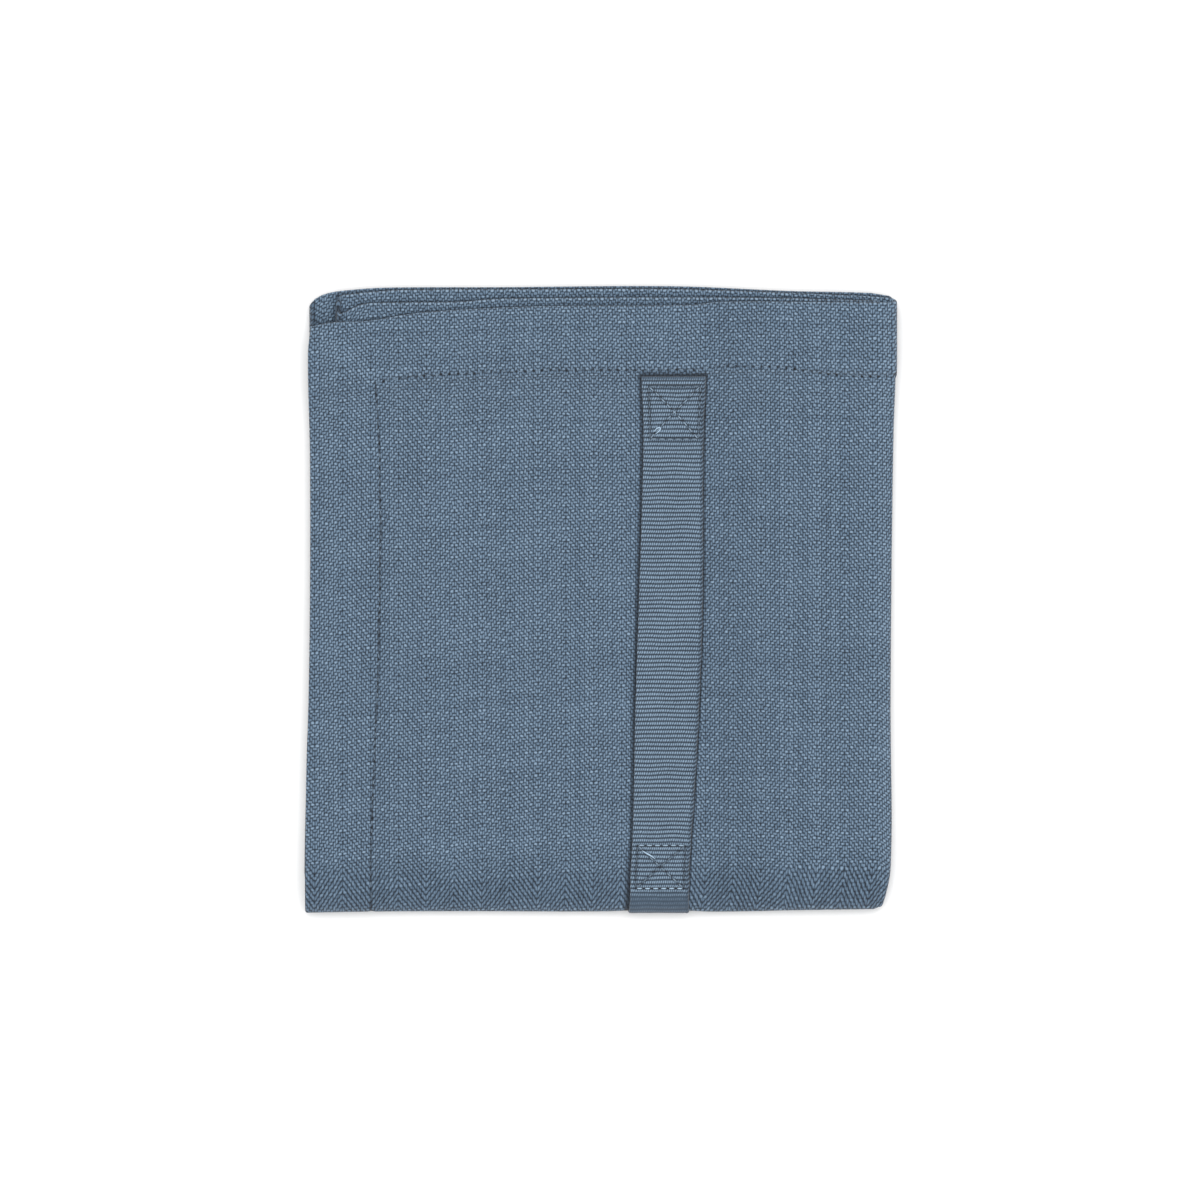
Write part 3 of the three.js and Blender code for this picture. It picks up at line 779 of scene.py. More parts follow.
def tape_margin(x, y, front):
    """How far a place lies from the tape: from its left edge, its right one or its end.

    The distances right of it and past its end count 2 and 0.8 times.
    """
    left = np.where(front, along(TAPE_EDGES, y, 1), TAIL_LEFT) - x
    right = x - np.where(front, along(TAPE_EDGES, y, 2), TAIL_RIGHT)
    past = y - np.where(front, TAPE_START, TAPE_END)
    return np.maximum(np.maximum(left, 2 * right), 0.8 * past)


def line_stray(table, place, seed):
    """How far a line of stitches strays: its table's curve and a small waver."""
    return along(table, place) + LINE_WAVER * soft_noise(place, 0, seed, reach=17)


def edged(places):
    """Places in from a rounded edge: its own ones, then the given ones that lie beyond it."""
    return np.concatenate([rounded_stops(EDGE_ROUND), places[places > EDGE_ROUND + 0.3]])


def sheet_columns(fold):
    """The cloth's columns: finest by the hem's stitches, even on the folds and the base."""
    hem = fold.hem_width
    flap = stops((22, 2.1), (hem - 1, 0.9), (hem + SEAM_PAST, 0.5), (FLAP_WIDE, FLAP_STEP))
    side = np.linspace(0, math.pi, 13)
    base = 1 - stops((0.14, 0.012), (1.0, 0.032))[::-1][1:-1]
    turn = np.linspace(math.pi, 0, 9)
    inner = stops((0.16, 0.014), (0.86, 0.035), (0.99, 0.02))[1:] * INNER_WIDE
    inner = np.concatenate([inner, INNER_WIDE - rounded_stops(EDGE_ROUND)[::-1]])
    return ClothColumns(fold, edged(flap), side, base, turn, inner)


def sheet_rows(fold, columns):
    """Y of the cloth's rows: on the front from its hem down, on the back from the fold up.

    Rows keep their distance from the hemmed edge near it and stretch evenly beyond.
    """
    hem = fold.hem_width
    start = fold.turn_start(columns)
    spans = {
        "front": ((20, 1.9), (hem - 1, 0.9), (hem + SEAM_PAST, 0.5), (FRONT_LONG, 2.1)),
        "back": ((20, 2.5), (hem - 1, 1.3), (hem + SEAM_PAST, 0.8), (BACK_LONG, 4.2)),
    }
    rows = []
    for half, spread in spans.items():
        distance = edged(stops(*spread))
        hemmed = fold.hemmed_y(columns, half)
        full = distance[-1]
        more = (hemmed - start - full) * rise((distance - EVEN_DOWN) / (full - EVEN_DOWN))
        rows.append((hemmed - distance - more)[:, :-1])
    return rows[0], rows[1][:, ::-1]


def mark_looks(made, middle, columns, front):
    """Sets out, margin, bend and pale from X and Y.

    The bend sets in and lets go smoothly; the painted highlight and the painted shade stripe are
    Gaussians.
    """
    x = middle[..., 0]
    y = middle[..., 1]
    part = np.searchsorted(columns.cuts, np.arange(columns.count), side="right")[:, None]
    layers = [np.array(PART_LAYERS[half])[part] for half in ("front", "back")]
    out = out_from_under(x, y, np.where(front, *layers))
    made.out = np.where(part == INNER_FOLD_PART, INNER_FOLD_OUT, out)
    made.margin = np.where(part == FLAP_PART, tape_margin(x, y, front), FAR)
    closed = 0.8 * rise((LIP_FROM - y) / LIP_REACH)
    made.bend = front * rise((BEND_FROM - y) / BEND_REACH) * (1 - closed)
    pale = np.exp(-(((x - PAINTED_HIGHLIGHT_X) / PAINTED_HIGHLIGHT_WIDE) ** 2))
    painted_shade_stripe = np.exp(-(((x - PAINTED_SHADE_X) / PAINTED_SHADE_WIDE) ** 2))
    made.pale = front * (np.maximum(pale, corner_ridge(middle)) - 0.5 * painted_shade_stripe)


def cloth_surfaces(settings):
    """The folded cloth: the middle of the sheet plus and minus its half thickness and relief.

    A free edge thins as a circle does. The relief is soft noise, less a trough along the
    stitches, plus the corner's ridge.
    """
    fold = TowelFold(settings)
    hem = fold.hem_width
    columns = sheet_columns(fold)
    front_y, back_y = sheet_rows(fold, columns)
    angles = np.linspace(0, math.pi, 17)
    middle, half = fold.grid(columns, front_y, angles, back_y)
    normals = grid_normals(middle)
    across = mean_lengths(middle, 0)
    down = mean_lengths(middle, 1)
    from_side = np.minimum(across, across[-1] - across)[:, None] + 0 * down
    from_end = np.minimum(down, down[-1] - down)[None, :] + 0 * across[:, None]
    for distance in (from_side, from_end):
        inside = 1 - np.clip((distance + 0.02) / EDGE_ROUND, 0, 1)
        half = half * np.sqrt(np.maximum(1 - inside**2, EDGE_THIN))

    made = Cloth()
    made.across = across
    made.down = down
    made.from_side = from_side
    made.from_end = from_end
    made.side_line = from_side - hem - line_stray(SIDE_LINE, from_end, SIDE_SEED)
    made.end_line = from_end - hem - line_stray(END_LINE, from_side, END_SEED)
    made.flat = weave_places(middle, across, down, columns.cuts[0], front_y.shape[1])
    front_rows = front_y.shape[1] + len(angles)
    front = (np.arange(len(down)) < front_rows) + 0 * across[:, None] > 0
    mark_looks(made, middle, columns, front)

    near_corner = (from_side < CORNER_REACH) * (from_end < CORNER_REACH)
    relief = OUTER_RELIEF * soft_noise(across[:, None], down, seed=4, reach=46)
    relief = relief - SEAM_DEPTH * seam_closeness(made, hem)
    relief = relief + CORNER_HEIGHT * corner_ridge(middle) * near_corner
    inner_relief = INNER_RELIEF * soft_noise(across[:, None], down, seed=9, reach=40)
    made.outer = middle + normals * (half + relief)[..., None]
    made.inner = middle - normals * (half + inner_relief)[..., None]
    for face in (made.outer, made.inner):
        face[..., 2] = np.maximum(face[..., 2], 0)
    return made


def seam_closeness(made, hem):
    """1 on the hem's lines of stitches, falling off beside them as a Gaussian."""
    start = hem - SEAM_BEFORE
    side = np.exp(-((made.side_line / SEAM_WIDE) ** 2)) * (made.from_end > start)
    end = np.exp(-((made.end_line / SEAM_WIDE) ** 2)) * (made.from_side > start)
    return np.maximum(side, end)


def line_closeness(x, y, start, end, wide):
    """1 on the line from start to end, falling off round it as a Gaussian of that width."""
    step = end - start
    span = np.hypot(*step)
    run = ((x - start[0]) * step[0] + (y - start[1]) * step[1]) / span
    off = ((x - start[0]) * step[1] - (y - start[1]) * step[0]) / span
    beyond = np.maximum(np.maximum(-run, run - span), 0)
    return np.exp(-(off**2 + beyond**2) / wide**2)


def corner_ridge(middle):
    """1 on the line where the two hems' corner is turned under, and 0 on the back."""
    start, end = np.array(CORNER_RIDGE)
    near = line_closeness(middle[..., 0], middle[..., 1], start, end, CORNER_WIDE)
    return near * (middle[..., 2] > MIDDLE_HEIGHT)


def make_cloth(settings):
    """The folded cloth as one closed sheet."""
    made = cloth_surfaces(settings)
    points = np.concatenate([made.outer.reshape(-1, 3), made.inner.reshape(-1, 3)])
    names = ("from_side", "from_end", "side_line", "end_line", "out", "margin", "bend",
             "pale")
    marks = {name: np.tile(getattr(made, name).ravel(), 2) for name in names}
    quads = solid_quads(*made.from_side.shape)
    flat = np.tile(made.flat.reshape(-1, 2), (2, 1))
    return add_piece("towel_fabric", points, quads, flat, marks)


def tape_surface(cloth, tape):
    """The cloth's face under the tape, over millimetres across and along the tape.

    Between SLACK_FROM and SLACK_TO the slack lifts it by a squared sine.
    """
    fold = TowelFold(cloth)
    columns = TapeColumns(fold, np.linspace(0, 1, 41))
    start = fold.turn_start(columns)
    front = mix(TAPE_START, start, np.linspace(0, 1, 241)[:-1])
    angles = np.linspace(0, math.pi, 25)
    back = mix(start, TAPE_END, np.linspace(0, 1, 50)[1:])
    middle, half = fold.grid(columns, front, angles, back)
    normals = grid_normals(middle)
    points = middle + normals * half[..., None]
    share = (front.mean(axis=0) - SLACK_TO) / (SLACK_FROM - SLACK_TO)
    slack = np.zeros(points.shape[1])
    slack[: len(share)] = tape.slack / MM * np.sin(math.pi * np.clip(share, 0, 1)) ** 2
    points = points + normals * slack[:, None]
    across = mean_lengths(points, 0)
    return Surface(points, normals, across, mean_lengths(points, 1))


def box_closeness(across, along_tape):
    """1 on the lines of the sewn boxes and their diagonals, falling off beside them."""
    lines = [line for box in SEWN_BOXES for line in box_lines(box)]
    near = [line_closeness(across, along_tape, *line, BOX_WIDE) for line in lines]
    return np.max(near, axis=0)


def box_lines(box):
    """The four sides and two diagonals of a sewn box."""
    left, right, top, bottom = box["left"], box["right"], box["top"], box["bottom"]
    corners = [np.array(c, float) for c in
               ((left, top), (right, top), (right, bottom), (left, bottom))]
    pairs = ((0, 1), (1, 2), (2, 3), (3, 0), (0, 2), (1, 3))
    return [(corners[a], corners[b]) for a, b in pairs]


def rounding(distance):
    """How far a rounded edge has sunk: a quarter ellipse, 0.5 mm deep and TAPE_ROUND wide."""
    share = 1 - np.clip(distance / TAPE_ROUND, 0, 1)
    return 0.5 * (1 - np.sqrt(1 - share**2))


def make_tape(cloth, tape):
    """The ribbed tape as a closed strip on the cloth.

    Its outer height is the thickness less a rib's groove, 1 - |sin|^0.7 of the place along the
    tape, less the notch beside the selvedge and the sunk lines of stitches, and it rounds off
    at both selvedges and the two ends. The right selvedge sways by a sine of a sine.
    """
    surface = tape_surface(cloth, tape)
    width = surface.across[-1]
    total = surface.down[-1]
    near = np.array([0, 0.12, 0.4])
    field = np.linspace(TAPE_ROUND, width - TAPE_ROUND, 36)
    across = np.concatenate([near, field, (width - near)[::-1]])
    ribs = int(total / (tape.rib_pitch / MM))
    rib_rows = np.arange(ribs)[:, None] + np.array([0, 0.14, 0.34, 0.66, 0.86])
    down = np.append(rib_rows, ribs) * total / ribs
    u, v = np.meshgrid(across, down, indexing="ij")
    from_end = np.minimum(v, total - v)
    waver = TAPE_WAVER * soft_noise(u, v, seed=31, reach=15) * rise(from_end / 8)
    points, normals = surface.at(u, v + waver)
    sway = SELVEDGE_SWAY * np.sin(v / 2.3 + 1.3 * np.sin(v / 17))
    sway = sway * np.exp(-np.abs(u - width) / 0.5)
    phase = v * ribs / total
    groove = 1 - np.abs(np.sin(math.pi * phase)) ** 0.7
    seam = box_closeness(u, v)
    turned = 1 - rise((v - 0.5) / 0.9)
    selvedge = rise((u - width + SELVEDGE_WIDE) / 0.5)
    depth = tape.rib_depth / MM * groove * (1 - 0.6 * turned) * (1 - 0.45 * selvedge)
    depth = depth * (1 - 0.65 * rise((v - FAINT_FROM) / FAINT_REACH))
    notch = NOTCH_DEPTH * np.exp(-(((u - width + NOTCH_IN) / NOTCH_WIDE) ** 2))
    notch = notch + BOX_DEPTH * seam
    body = tape.thickness / MM - 0.08 + 0.06 * turned
    rounded = rounding(np.minimum(u, width - u)) + rounding(from_end)
    height = TAPE_SEAT + np.maximum(body - depth - notch - rounded, THINNEST)
    outward = unit(np.cross(normals, np.gradient(points, axis=1)))
    outer = points + normals * height[..., None] - outward * sway[..., None]
    inner = points + normals * TAPE_SEAT
    for face in (outer, inner):
        face[..., 2] = np.maximum(face[..., 2], 0)
    flat = np.tile(np.stack([u, v], axis=-1).reshape(-1, 2), (2, 1))
    both = np.concatenate([outer.reshape(-1, 3), inner.reshape(-1, 3)])
    marks = {"seam": np.tile(seam.ravel(), 2), "turned": np.tile(turned.ravel(), 2)}
    piece = add_piece("hanging_tape_webbing", both, solid_quads(*u.shape), flat, marks)
    return piece, Surface(outer, normals, across, down), ribs / total


def ring_offsets(beside, upright):
    """A ring of offsets for each pair of directions: beside times cosine, upright times sine."""
    turn = np.linspace(0, math.tau, SIDES + 1)[:-1, None]
    return beside[..., None, :] * np.cos(turn) + upright[..., None, :] * np.sin(turn)


def tapered(share, end):
    """Square root of the sine of pi times the share, which is held in by end at both ends."""
    return np.sqrt(np.sin(math.pi * (end + (1 - 2 * end) * share)))


def threads(starts, ends, ups, radius, lift, sink):
    """Short lengths of thread from hole to hole: rings along an arc, tapered at both ends.

    The arc is the straight line, raised by (lift + sink) times the root of a sine, less sink.
    """
    share = np.linspace(0.0, 1.0, RINGS)
    line = ends - starts
    along_line = unit(line)
    beside = unit(np.cross(along_line, ups))
    upright = np.cross(beside, along_line)
    height = (lift + sink) * np.sqrt(np.sin(math.pi * share)) - sink
    middle = starts[:, None] + line[:, None] * share[:, None]
    middle = middle + upright[:, None] * height[:, None]
    around = ring_offsets(beside, upright)[:, None] * (radius * tapered(share, 0.07))[:, None, None]
    return (middle[:, :, None] + around).reshape(len(starts), -1, 3)


def thread_quads(count, rings):
    """Faces of one or more tubes of six-sided rings with closed ends."""
    k = np.arange(SIDES)
    after = (k + 1) % SIDES
    row = np.arange(rings - 1)[:, None] * SIDES
    body = np.stack([row + k, row + after, row + after + SIDES, row + k + SIDES], axis=-1)
    last = (rings - 1) * SIDES
    caps = [[3, 2, 1, 0], [5, 4, 3, 0], [last, last + 1, last + 2, last + 3],
            [last, last + 3, last + 4, last + 5]]
    quads = np.concatenate([body.reshape(-1, 4), caps])
    return (quads + np.arange(count)[:, None, None] * rings * SIDES).reshape(-1, 4)


def tube(path, ups, radius):
    """A thin tube along a path of points: a ring at each, tapered at both ends."""
    ahead = unit(np.gradient(path, axis=0))
    beside = unit(np.cross(ahead, ups))
    upright = np.cross(beside, ahead)
    size = radius * tapered(np.linspace(0, 1, len(path)), 0.03)
    around = ring_offsets(beside, upright) * size[:, None, None]
    return (path[:, None] + around).reshape(-1, 3)


def make_hem_stitches(cloth, sewing):
    """The rows of stitches that hold the flap's hems, on the faces that show.

    Every stitch is a thread sunk between two holes on the hem's line, a stitch length apart.
    """
    made = cloth_surfaces(cloth)
    surface = Surface(made.outer, grid_normals(made.outer), made.across, made.down)
    hem = cloth.hem_width / MM
    pitch = sewing.stitch / MM
    long = made.down[-1]
    side = hem + pitch * np.arange(int((long / 2 - hem) / pitch))
    top = hem + pitch * np.arange(int((made.across[-1] * FLAP_SHARE - hem) / pitch))
    ends = [share * pitch for share in HEM_HOLES]
    on_side = [hem + line_stray(SIDE_LINE, side + run, SIDE_SEED) for run in ends]
    on_top = [hem + line_stray(END_LINE, top + run, END_SEED) for run in ends]
    lines = (
        [(u, side + run) for u, run in zip(on_side, ends)],
        [(u, long - side - run) for u, run in zip(on_side, ends)],
        [(top + run, v) for v, run in zip(on_top, ends)],
        [(top + run, long - v) for v, run in zip(on_top, ends)],
    )
    random = np.random.default_rng(11)
    parts = []
    painted_light_tones = []
    for first, last in lines:
        start, normal = surface.at(*first)
        end, _ = surface.at(*last)
        parts.append(threads(start, end, normal, sewing.thread / MM / 2, HEM_LIFT, HEM_SINK))
        painted_light_tones.append(np.repeat(random.uniform(*HEM_PAINTED_LIGHT_TONES, len(start)), RINGS * SIDES))
    points = np.concatenate(parts)
    marks = {"tone": np.concatenate(painted_light_tones)}
    quads = thread_quads(len(points), RINGS)
    return add_piece("hem_stitches", points.reshape(-1, 3), quads, None, marks)


def make_tape_stitches(surface, sewing):
    """The two sewn boxes with their crosses, and the loose ends of thread on them."""
    pitch = sewing.stitch / MM
    radius = sewing.thread / MM / 2
    made = []
    for box in SEWN_BOXES:
        for (a, b), tone in zip(box_lines(box), box["painted_light_tones"]):
            count = max(1, round(np.hypot(*(b - a)) / pitch))
            step = (b - a) / count
            inset = step * BOX_INSET / np.hypot(*step)
            first = a + (b - a) * np.arange(count)[:, None] / count
            start, normal = surface.at(*(first + inset).T)
            end, _ = surface.at(*(first + step - inset).T)
            stitches = threads(start, end, normal, radius * BOX_FAT, BOX_LIFT, BOX_SINK)
            made.append((stitches.reshape(-1, 3), thread_quads(count, RINGS), tone))
    for ends in LOOSE_THREADS:
        path = smooth_path(np.array(ends, float), 19)
        place, normal = surface.at(path[:, 0], path[:, 1])
        raised = 0.2 + 0.35 * np.sin(math.pi * np.linspace(0, 1, len(path)))
        loose = tube(place + normal * raised[:, None], normal, radius * LOOSE_FAT)
        # Loose ends stand proud and get the full painted highlight.
        made.append((loose, thread_quads(1, len(path)), 1.0))
    points, quads, painted_light_tones = zip(*made)
    counts = [len(part) for part in points]
    before = np.cumsum([0, *counts[:-1]])
    joined = np.concatenate([part + start for part, start in zip(quads, before)])
    marks = {"tone": np.repeat(painted_light_tones, counts)}
    return add_piece("tape_stitches", np.concatenate(points), joined, None, marks)


def smooth_path(points, count):
    """Catmull-Rom curve through points: cubic, with the slope of each point's neighbours."""
    places = np.linspace(0, len(points) - 1, count)
    rows = [np.column_stack([np.arange(len(points)), points[:, k]]) for k in range(2)]
    return np.column_stack([along(table, places) for table in rows])


class Graph:
    """Adds nodes to a tree; what it returns are output sockets."""

    def __init__(self, tree):
        self.tree = tree

    def add(self, kind, **settings):
        """A node with its properties set."""
        node = self.tree.nodes.new(kind)
        for name, value in settings.items():
            setattr(node, name, value)
        return node

    def feed(self, socket, value):
        """Links a socket to an input, or sets the input's own value."""
        if isinstance(value, bpy.types.NodeSocket):
            self.tree.links.new(value, socket)
        else:
            socket.default_value = value

    def math(self, operation, *values):
        """One step of arithmetic."""
        node = self.add("ShaderNodeMath", operation=operation)
        for socket, value in zip(node.inputs, values):
            self.feed(socket, value)
        return node.outputs[0]

    def smooth(self, value, low, high):
        """0 at low and 1 at high, smoothly."""
        node = self.add("ShaderNodeMapRange", interpolation_type="SMOOTHSTEP")
        for name, given in (("Value", value), ("From Min", low), ("From Max", high)):
            self.feed(node.inputs[name], given)
        return node.outputs["Result"]

    def fade(self, value, low, high):
        """1 at low and 0 at high, smoothly."""
        return self.math("SUBTRACT", 1.0, self.smooth(value, low, high))

    def blend(self, a, b, share):
        """a where share is 0 and b where it is 1."""
        difference = self.math("SUBTRACT", b, a)
        return self.math("MULTIPLY_ADD", difference, share, a)

    def noise(self, vector, scale, detail=2.0, roughness=0.55):
        """Noise from 0 to 1; the scale is in waves for each unit of the vector."""
        node = self.add("ShaderNodeTexNoise")
        given = (("Vector", vector), ("Scale", scale), ("Detail", detail),
                 ("Roughness", roughness))
        for name, value in given:
            self.feed(node.inputs[name], value)
        return node.outputs["Fac"]

    def uneven(self, vector, scale):
        """Noise from -0.5 to 0.5."""
        return self.math("SUBTRACT", self.noise(vector, scale), 0.5)

    def both_ways(self, part):
        """A part from 0 to 1 as a place from -1 to 1."""
        return self.math("MULTIPLY_ADD", part, 2.0, -1.0)

    def mark(self, name):
        """One of the piece's own attributes."""
        node = self.add("ShaderNodeAttribute", attribute_type="GEOMETRY", attribute_name=name)
        return node.outputs["Fac"]

    def joined(self, x, y):
        """Two numbers as a vector."""
        node = self.add("ShaderNodeCombineXYZ")
        self.feed(node.inputs["X"], x)
        self.feed(node.inputs["Y"], y)
        return node.outputs["Vector"]

    def millimetres(self, vector):
        """X and Y of a vector of metres, in millimetres."""
        parts = self.add("ShaderNodeSeparateXYZ")
        self.feed(parts.inputs["Vector"], vector)
        return [self.math("MULTIPLY", parts.outputs[axis], 1 / MM) for axis in "XY"]

    def ramp(self, value, colours):
        """Colours at even places from 0 to 1."""
        node = self.add("ShaderNodeValToRGB")
        while len(node.color_ramp.elements) < len(colours):
            node.color_ramp.elements.new(0.5)
        for k, colour_at in enumerate(colours):
            element = node.color_ramp.elements[k]
            element.position = k / (len(colours) - 1)
            element.color = (*colour_at, 1)
        self.feed(node.inputs["Fac"], value)
        return node.outputs["Color"]


def cotton_fibre_group():
    """Shader group for cotton: unevenness between threads and fine fibres on them."""
    name = "cotton_fibre"
    if name in bpy.data.node_groups:
        return bpy.data.node_groups[name]
    tree = bpy.data.node_groups.new(name, "ShaderNodeTree")
    sockets = (
        ("Flat", "INPUT", "Vector"), ("Shade", "INPUT", "Float"), ("Fibre", "INPUT", "Float"),
        ("Shade", "OUTPUT", "Float"), ("Height", "OUTPUT", "Float"),
    )
    for socket, side, kind in sockets:
        tree.interface.new_socket(socket, in_out=side, socket_type=f"NodeSocket{kind}")
    g = Graph(tree)
    given = g.add("NodeGroupInput").outputs
    fine = g.noise(given["Flat"], 2.6, detail=3.0, roughness=0.6)
    centred = g.math("SUBTRACT", fine, 0.5)
    shade = g.math("MULTIPLY_ADD", centred, given["Fibre"], given["Shade"])
    for scale, amount in ((0.35, 0.16), (0.06, 0.12)):
        shade = g.math("MULTIPLY_ADD", g.uneven(given["Flat"], scale), amount, shade)
    put = g.add("NodeGroupOutput").inputs
    g.feed(put["Shade"], shade)
    g.feed(put["Height"], fine)
    return tree


def dome(g, part, power):
    """0 at both edges of a thread and 1 in its middle: 1 - (2 part - 1)^2, to a power."""
    off = g.both_ways(part)
    return g.math("POWER", g.math("SUBTRACT", 1.0, g.math("MULTIPLY", off, off)), power)


def groove(g, part, power):
    """1 at both edges of a thread and 0 in its middle: |2 part - 1| to a power."""
    return g.math("POWER", g.math("ABSOLUTE", g.both_ways(part)), power)


def thread_hump(g, across, along_float, roundness):
    """Height of a float: round across the thread and swelling towards its middle."""
    return g.math("MULTIPLY", dome(g, across, roundness), dome(g, along_float, SWELL))


def white_noise(g, x, y):
    """A random number from -0.5 to 0.5 for each pair of numbers."""
    node = g.add("ShaderNodeTexWhiteNoise", noise_dimensions="2D")
    g.feed(node.inputs["Vector"], g.joined(x, y))
    return g.math("SUBTRACT", node.outputs["Value"], 0.5)


def herringbone_nodes(g, u, v, bend, settings):
    """Height of a 2/2 twill that turns back every TURN_ENDS ends, from flat millimetres.

    With c the end number folded back and forth and j the pick number, the end lies on top where
    c + j modulo 4 is below 2, and the float's own place runs with that sum. Grooves run between
    picks and, deeper, after every second end. Faint ridges run along the twill lines, and a
    bend brings them out.
    """
    here = g.joined(u, v)
    turned = g.joined(v, u)
    ends = g.math("DIVIDE", g.math("ADD", u, WEAVE_START), settings.end_pitch / MM)
    picks = g.math("DIVIDE", v, settings.pick_pitch / MM)
    for scale, amount in SWAYS:
        ends = g.math("MULTIPLY_ADD", g.uneven(here, scale), amount, ends)
        picks = g.math("MULTIPLY_ADD", g.uneven(turned, scale * 1.15), amount, picks)
    folded = g.math("PINGPONG", ends, TURN_ENDS)
    number = g.math("FLOOR", folded)
    part = g.math("FRACT", folded)
    pick = g.math("FLOOR", picks)
    pick_part = g.math("FRACT", picks)
    place = g.math("FLOORED_MODULO", g.math("ADD", number, pick), 4.0)
    end_up = g.math("LESS_THAN", place, 1.5)
    end_run = g.math("DIVIDE", g.math("ADD", place, pick_part), 2.0)
    pick_run = g.math("DIVIDE", g.math("ADD", g.math("SUBTRACT", place, 2.0), part), 2.0)
    end_hump = g.math("MULTIPLY", thread_hump(g, part, end_run, END_ROUND), END_HEIGHT)
    pick_hump = thread_hump(g, pick_part, pick_run, PICK_ROUND)
    height = g.blend(pick_hump, end_hump, end_up)
    line = g.math("FRACT", g.math("MULTIPLY_ADD", g.math("ADD", folded, picks), 0.5, -0.25))
    ridge = g.math("MULTIPLY_ADD", groove(g, line, LINE_POWER), -LINE_HEIGHT, LINE_HEIGHT)
    height = g.blend(height, ridge, g.math("MULTIPLY_ADD", bend, BENT_SHARE, LINE_SHARE))
    pair = g.math("FRACT", g.math("MULTIPLY", ends, 0.5))
    for part_of, (power, depth) in ((pick_part, PICK_GROOVE), (pair, PAIR_GROOVE)):
        left = g.math("MULTIPLY_ADD", groove(g, part_of, power), -depth, 1.0)
        height = g.math("MULTIPLY", height, left)
    end_index = g.math("FLOOR", ends)
    thread_u = g.math("MULTIPLY", end_index, end_up)
    thread_v = g.math("MULTIPLY", pick, g.math("SUBTRACT", 1.0, end_up))
    uneven = g.math("MULTIPLY_ADD", white_noise(g, thread_u, thread_v), THREAD_UNEVEN, 1.0)
    crossing = white_noise(g, g.math("ADD", end_index, 0.37), pick)
    uneven = g.math("MULTIPLY_ADD", crossing, CROSSING_UNEVEN, uneven)
    return g.math("POWER", g.math("MULTIPLY", height, uneven), CONTRAST)


def plain_shader(g, colours, height, distance, roughness, sheen):
    """Principled shader with a bump of that distance, in metres."""
    bump = g.add("ShaderNodeBump")
    bump.inputs["Strength"].default_value = 1.0
    bump.inputs["Distance"].default_value = distance
    g.feed(bump.inputs["Height"], height)
    shader = g.add("ShaderNodeBsdfPrincipled")
    shader.inputs["Roughness"].default_value = roughness
    shader.inputs["Specular IOR Level"].default_value = 0.2
    shader.inputs["Sheen Weight"].default_value = sheen
    shader.inputs["Sheen Roughness"].default_value = 0.6
    g.feed(shader.inputs["Base Color"], colours)
    g.feed(shader.inputs["Normal"], bump.outputs["Normal"])
    out = g.add("ShaderNodeOutputMaterial")
    g.feed(out.inputs["Surface"], shader.outputs["BSDF"])


def new_material(name):
    """An empty material and the graph of its nodes."""
    material = bpy.data.materials.new(name)
    material.use_nodes = True
    material.node_tree.nodes.clear()
    return material, Graph(material.node_tree)


def flat_place(g):
    """Millimetres across and along, from the piece's own flat map."""
    return g.millimetres(g.add("ShaderNodeUVMap", uv_map="flat").outputs["UV"])


def fibres(g, u, v, shade, amount):
    """Shade and height from the cotton group."""
    node = g.add("ShaderNodeGroup", node_tree=cotton_fibre_group())
    g.feed(node.inputs["Flat"], g.joined(u, v))
    g.feed(node.inputs["Shade"], shade)
    node.inputs["Fibre"].default_value = amount
    return node.outputs["Shade"], node.outputs["Height"]


def stitch_holes(g, off, run, pitch, reach):
    """1 in the needle holes of a line, a pitch apart, and 0 from reach on.

    off is the distance from the line and run the place along it.
    """
    place = g.math("FRACT", g.math("DIVIDE", run, pitch))
    along_line = g.math("MULTIPLY", g.math("ABSOLUTE", g.math("SUBTRACT", place, 0.5)), pitch)
    far = g.math("SUBTRACT", pitch / 2, along_line)
    squares = [g.math("MULTIPLY", value, value) for value in (off, far)]
    distance = g.math("SQRT", g.math("ADD", *squares))
    return g.fade(distance, 0.2 * reach, reach)


def hem_holes(g, u, v, cloth, sewing):
    """The needle holes of both hems and, a little fainter, the side hem's line between them, as
    painted shade.

    Noise makes the mask uneven.
    """
    hem = cloth.hem_width / MM
    pitch = sewing.stitch / MM
    from_side = g.mark("from_side")
    from_end = g.mark("from_end")
    side_off = g.mark("side_line")
    on_side = stitch_holes(g, side_off, g.math("SUBTRACT", from_end, hem), pitch, reach=0.8)
    row = g.smooth(g.math("ABSOLUTE", side_off), 0.1, 0.6)
    on_side = g.math("MAXIMUM", on_side, g.math("MULTIPLY_ADD", row, -0.9, 0.9))
    run = g.math("SUBTRACT", from_side, hem)
    on_end = stitch_holes(g, g.mark("end_line"), run, pitch, reach=0.9)
    both = [
        g.math("MULTIPLY", holes, g.math("GREATER_THAN", past, hem - 1))
        for holes, past in ((on_side, from_end), (on_end, from_side))
    ]
    return g.math("MULTIPLY", g.math("MAXIMUM", *both), g.noise(g.joined(u, v), 0.5, 0.0))


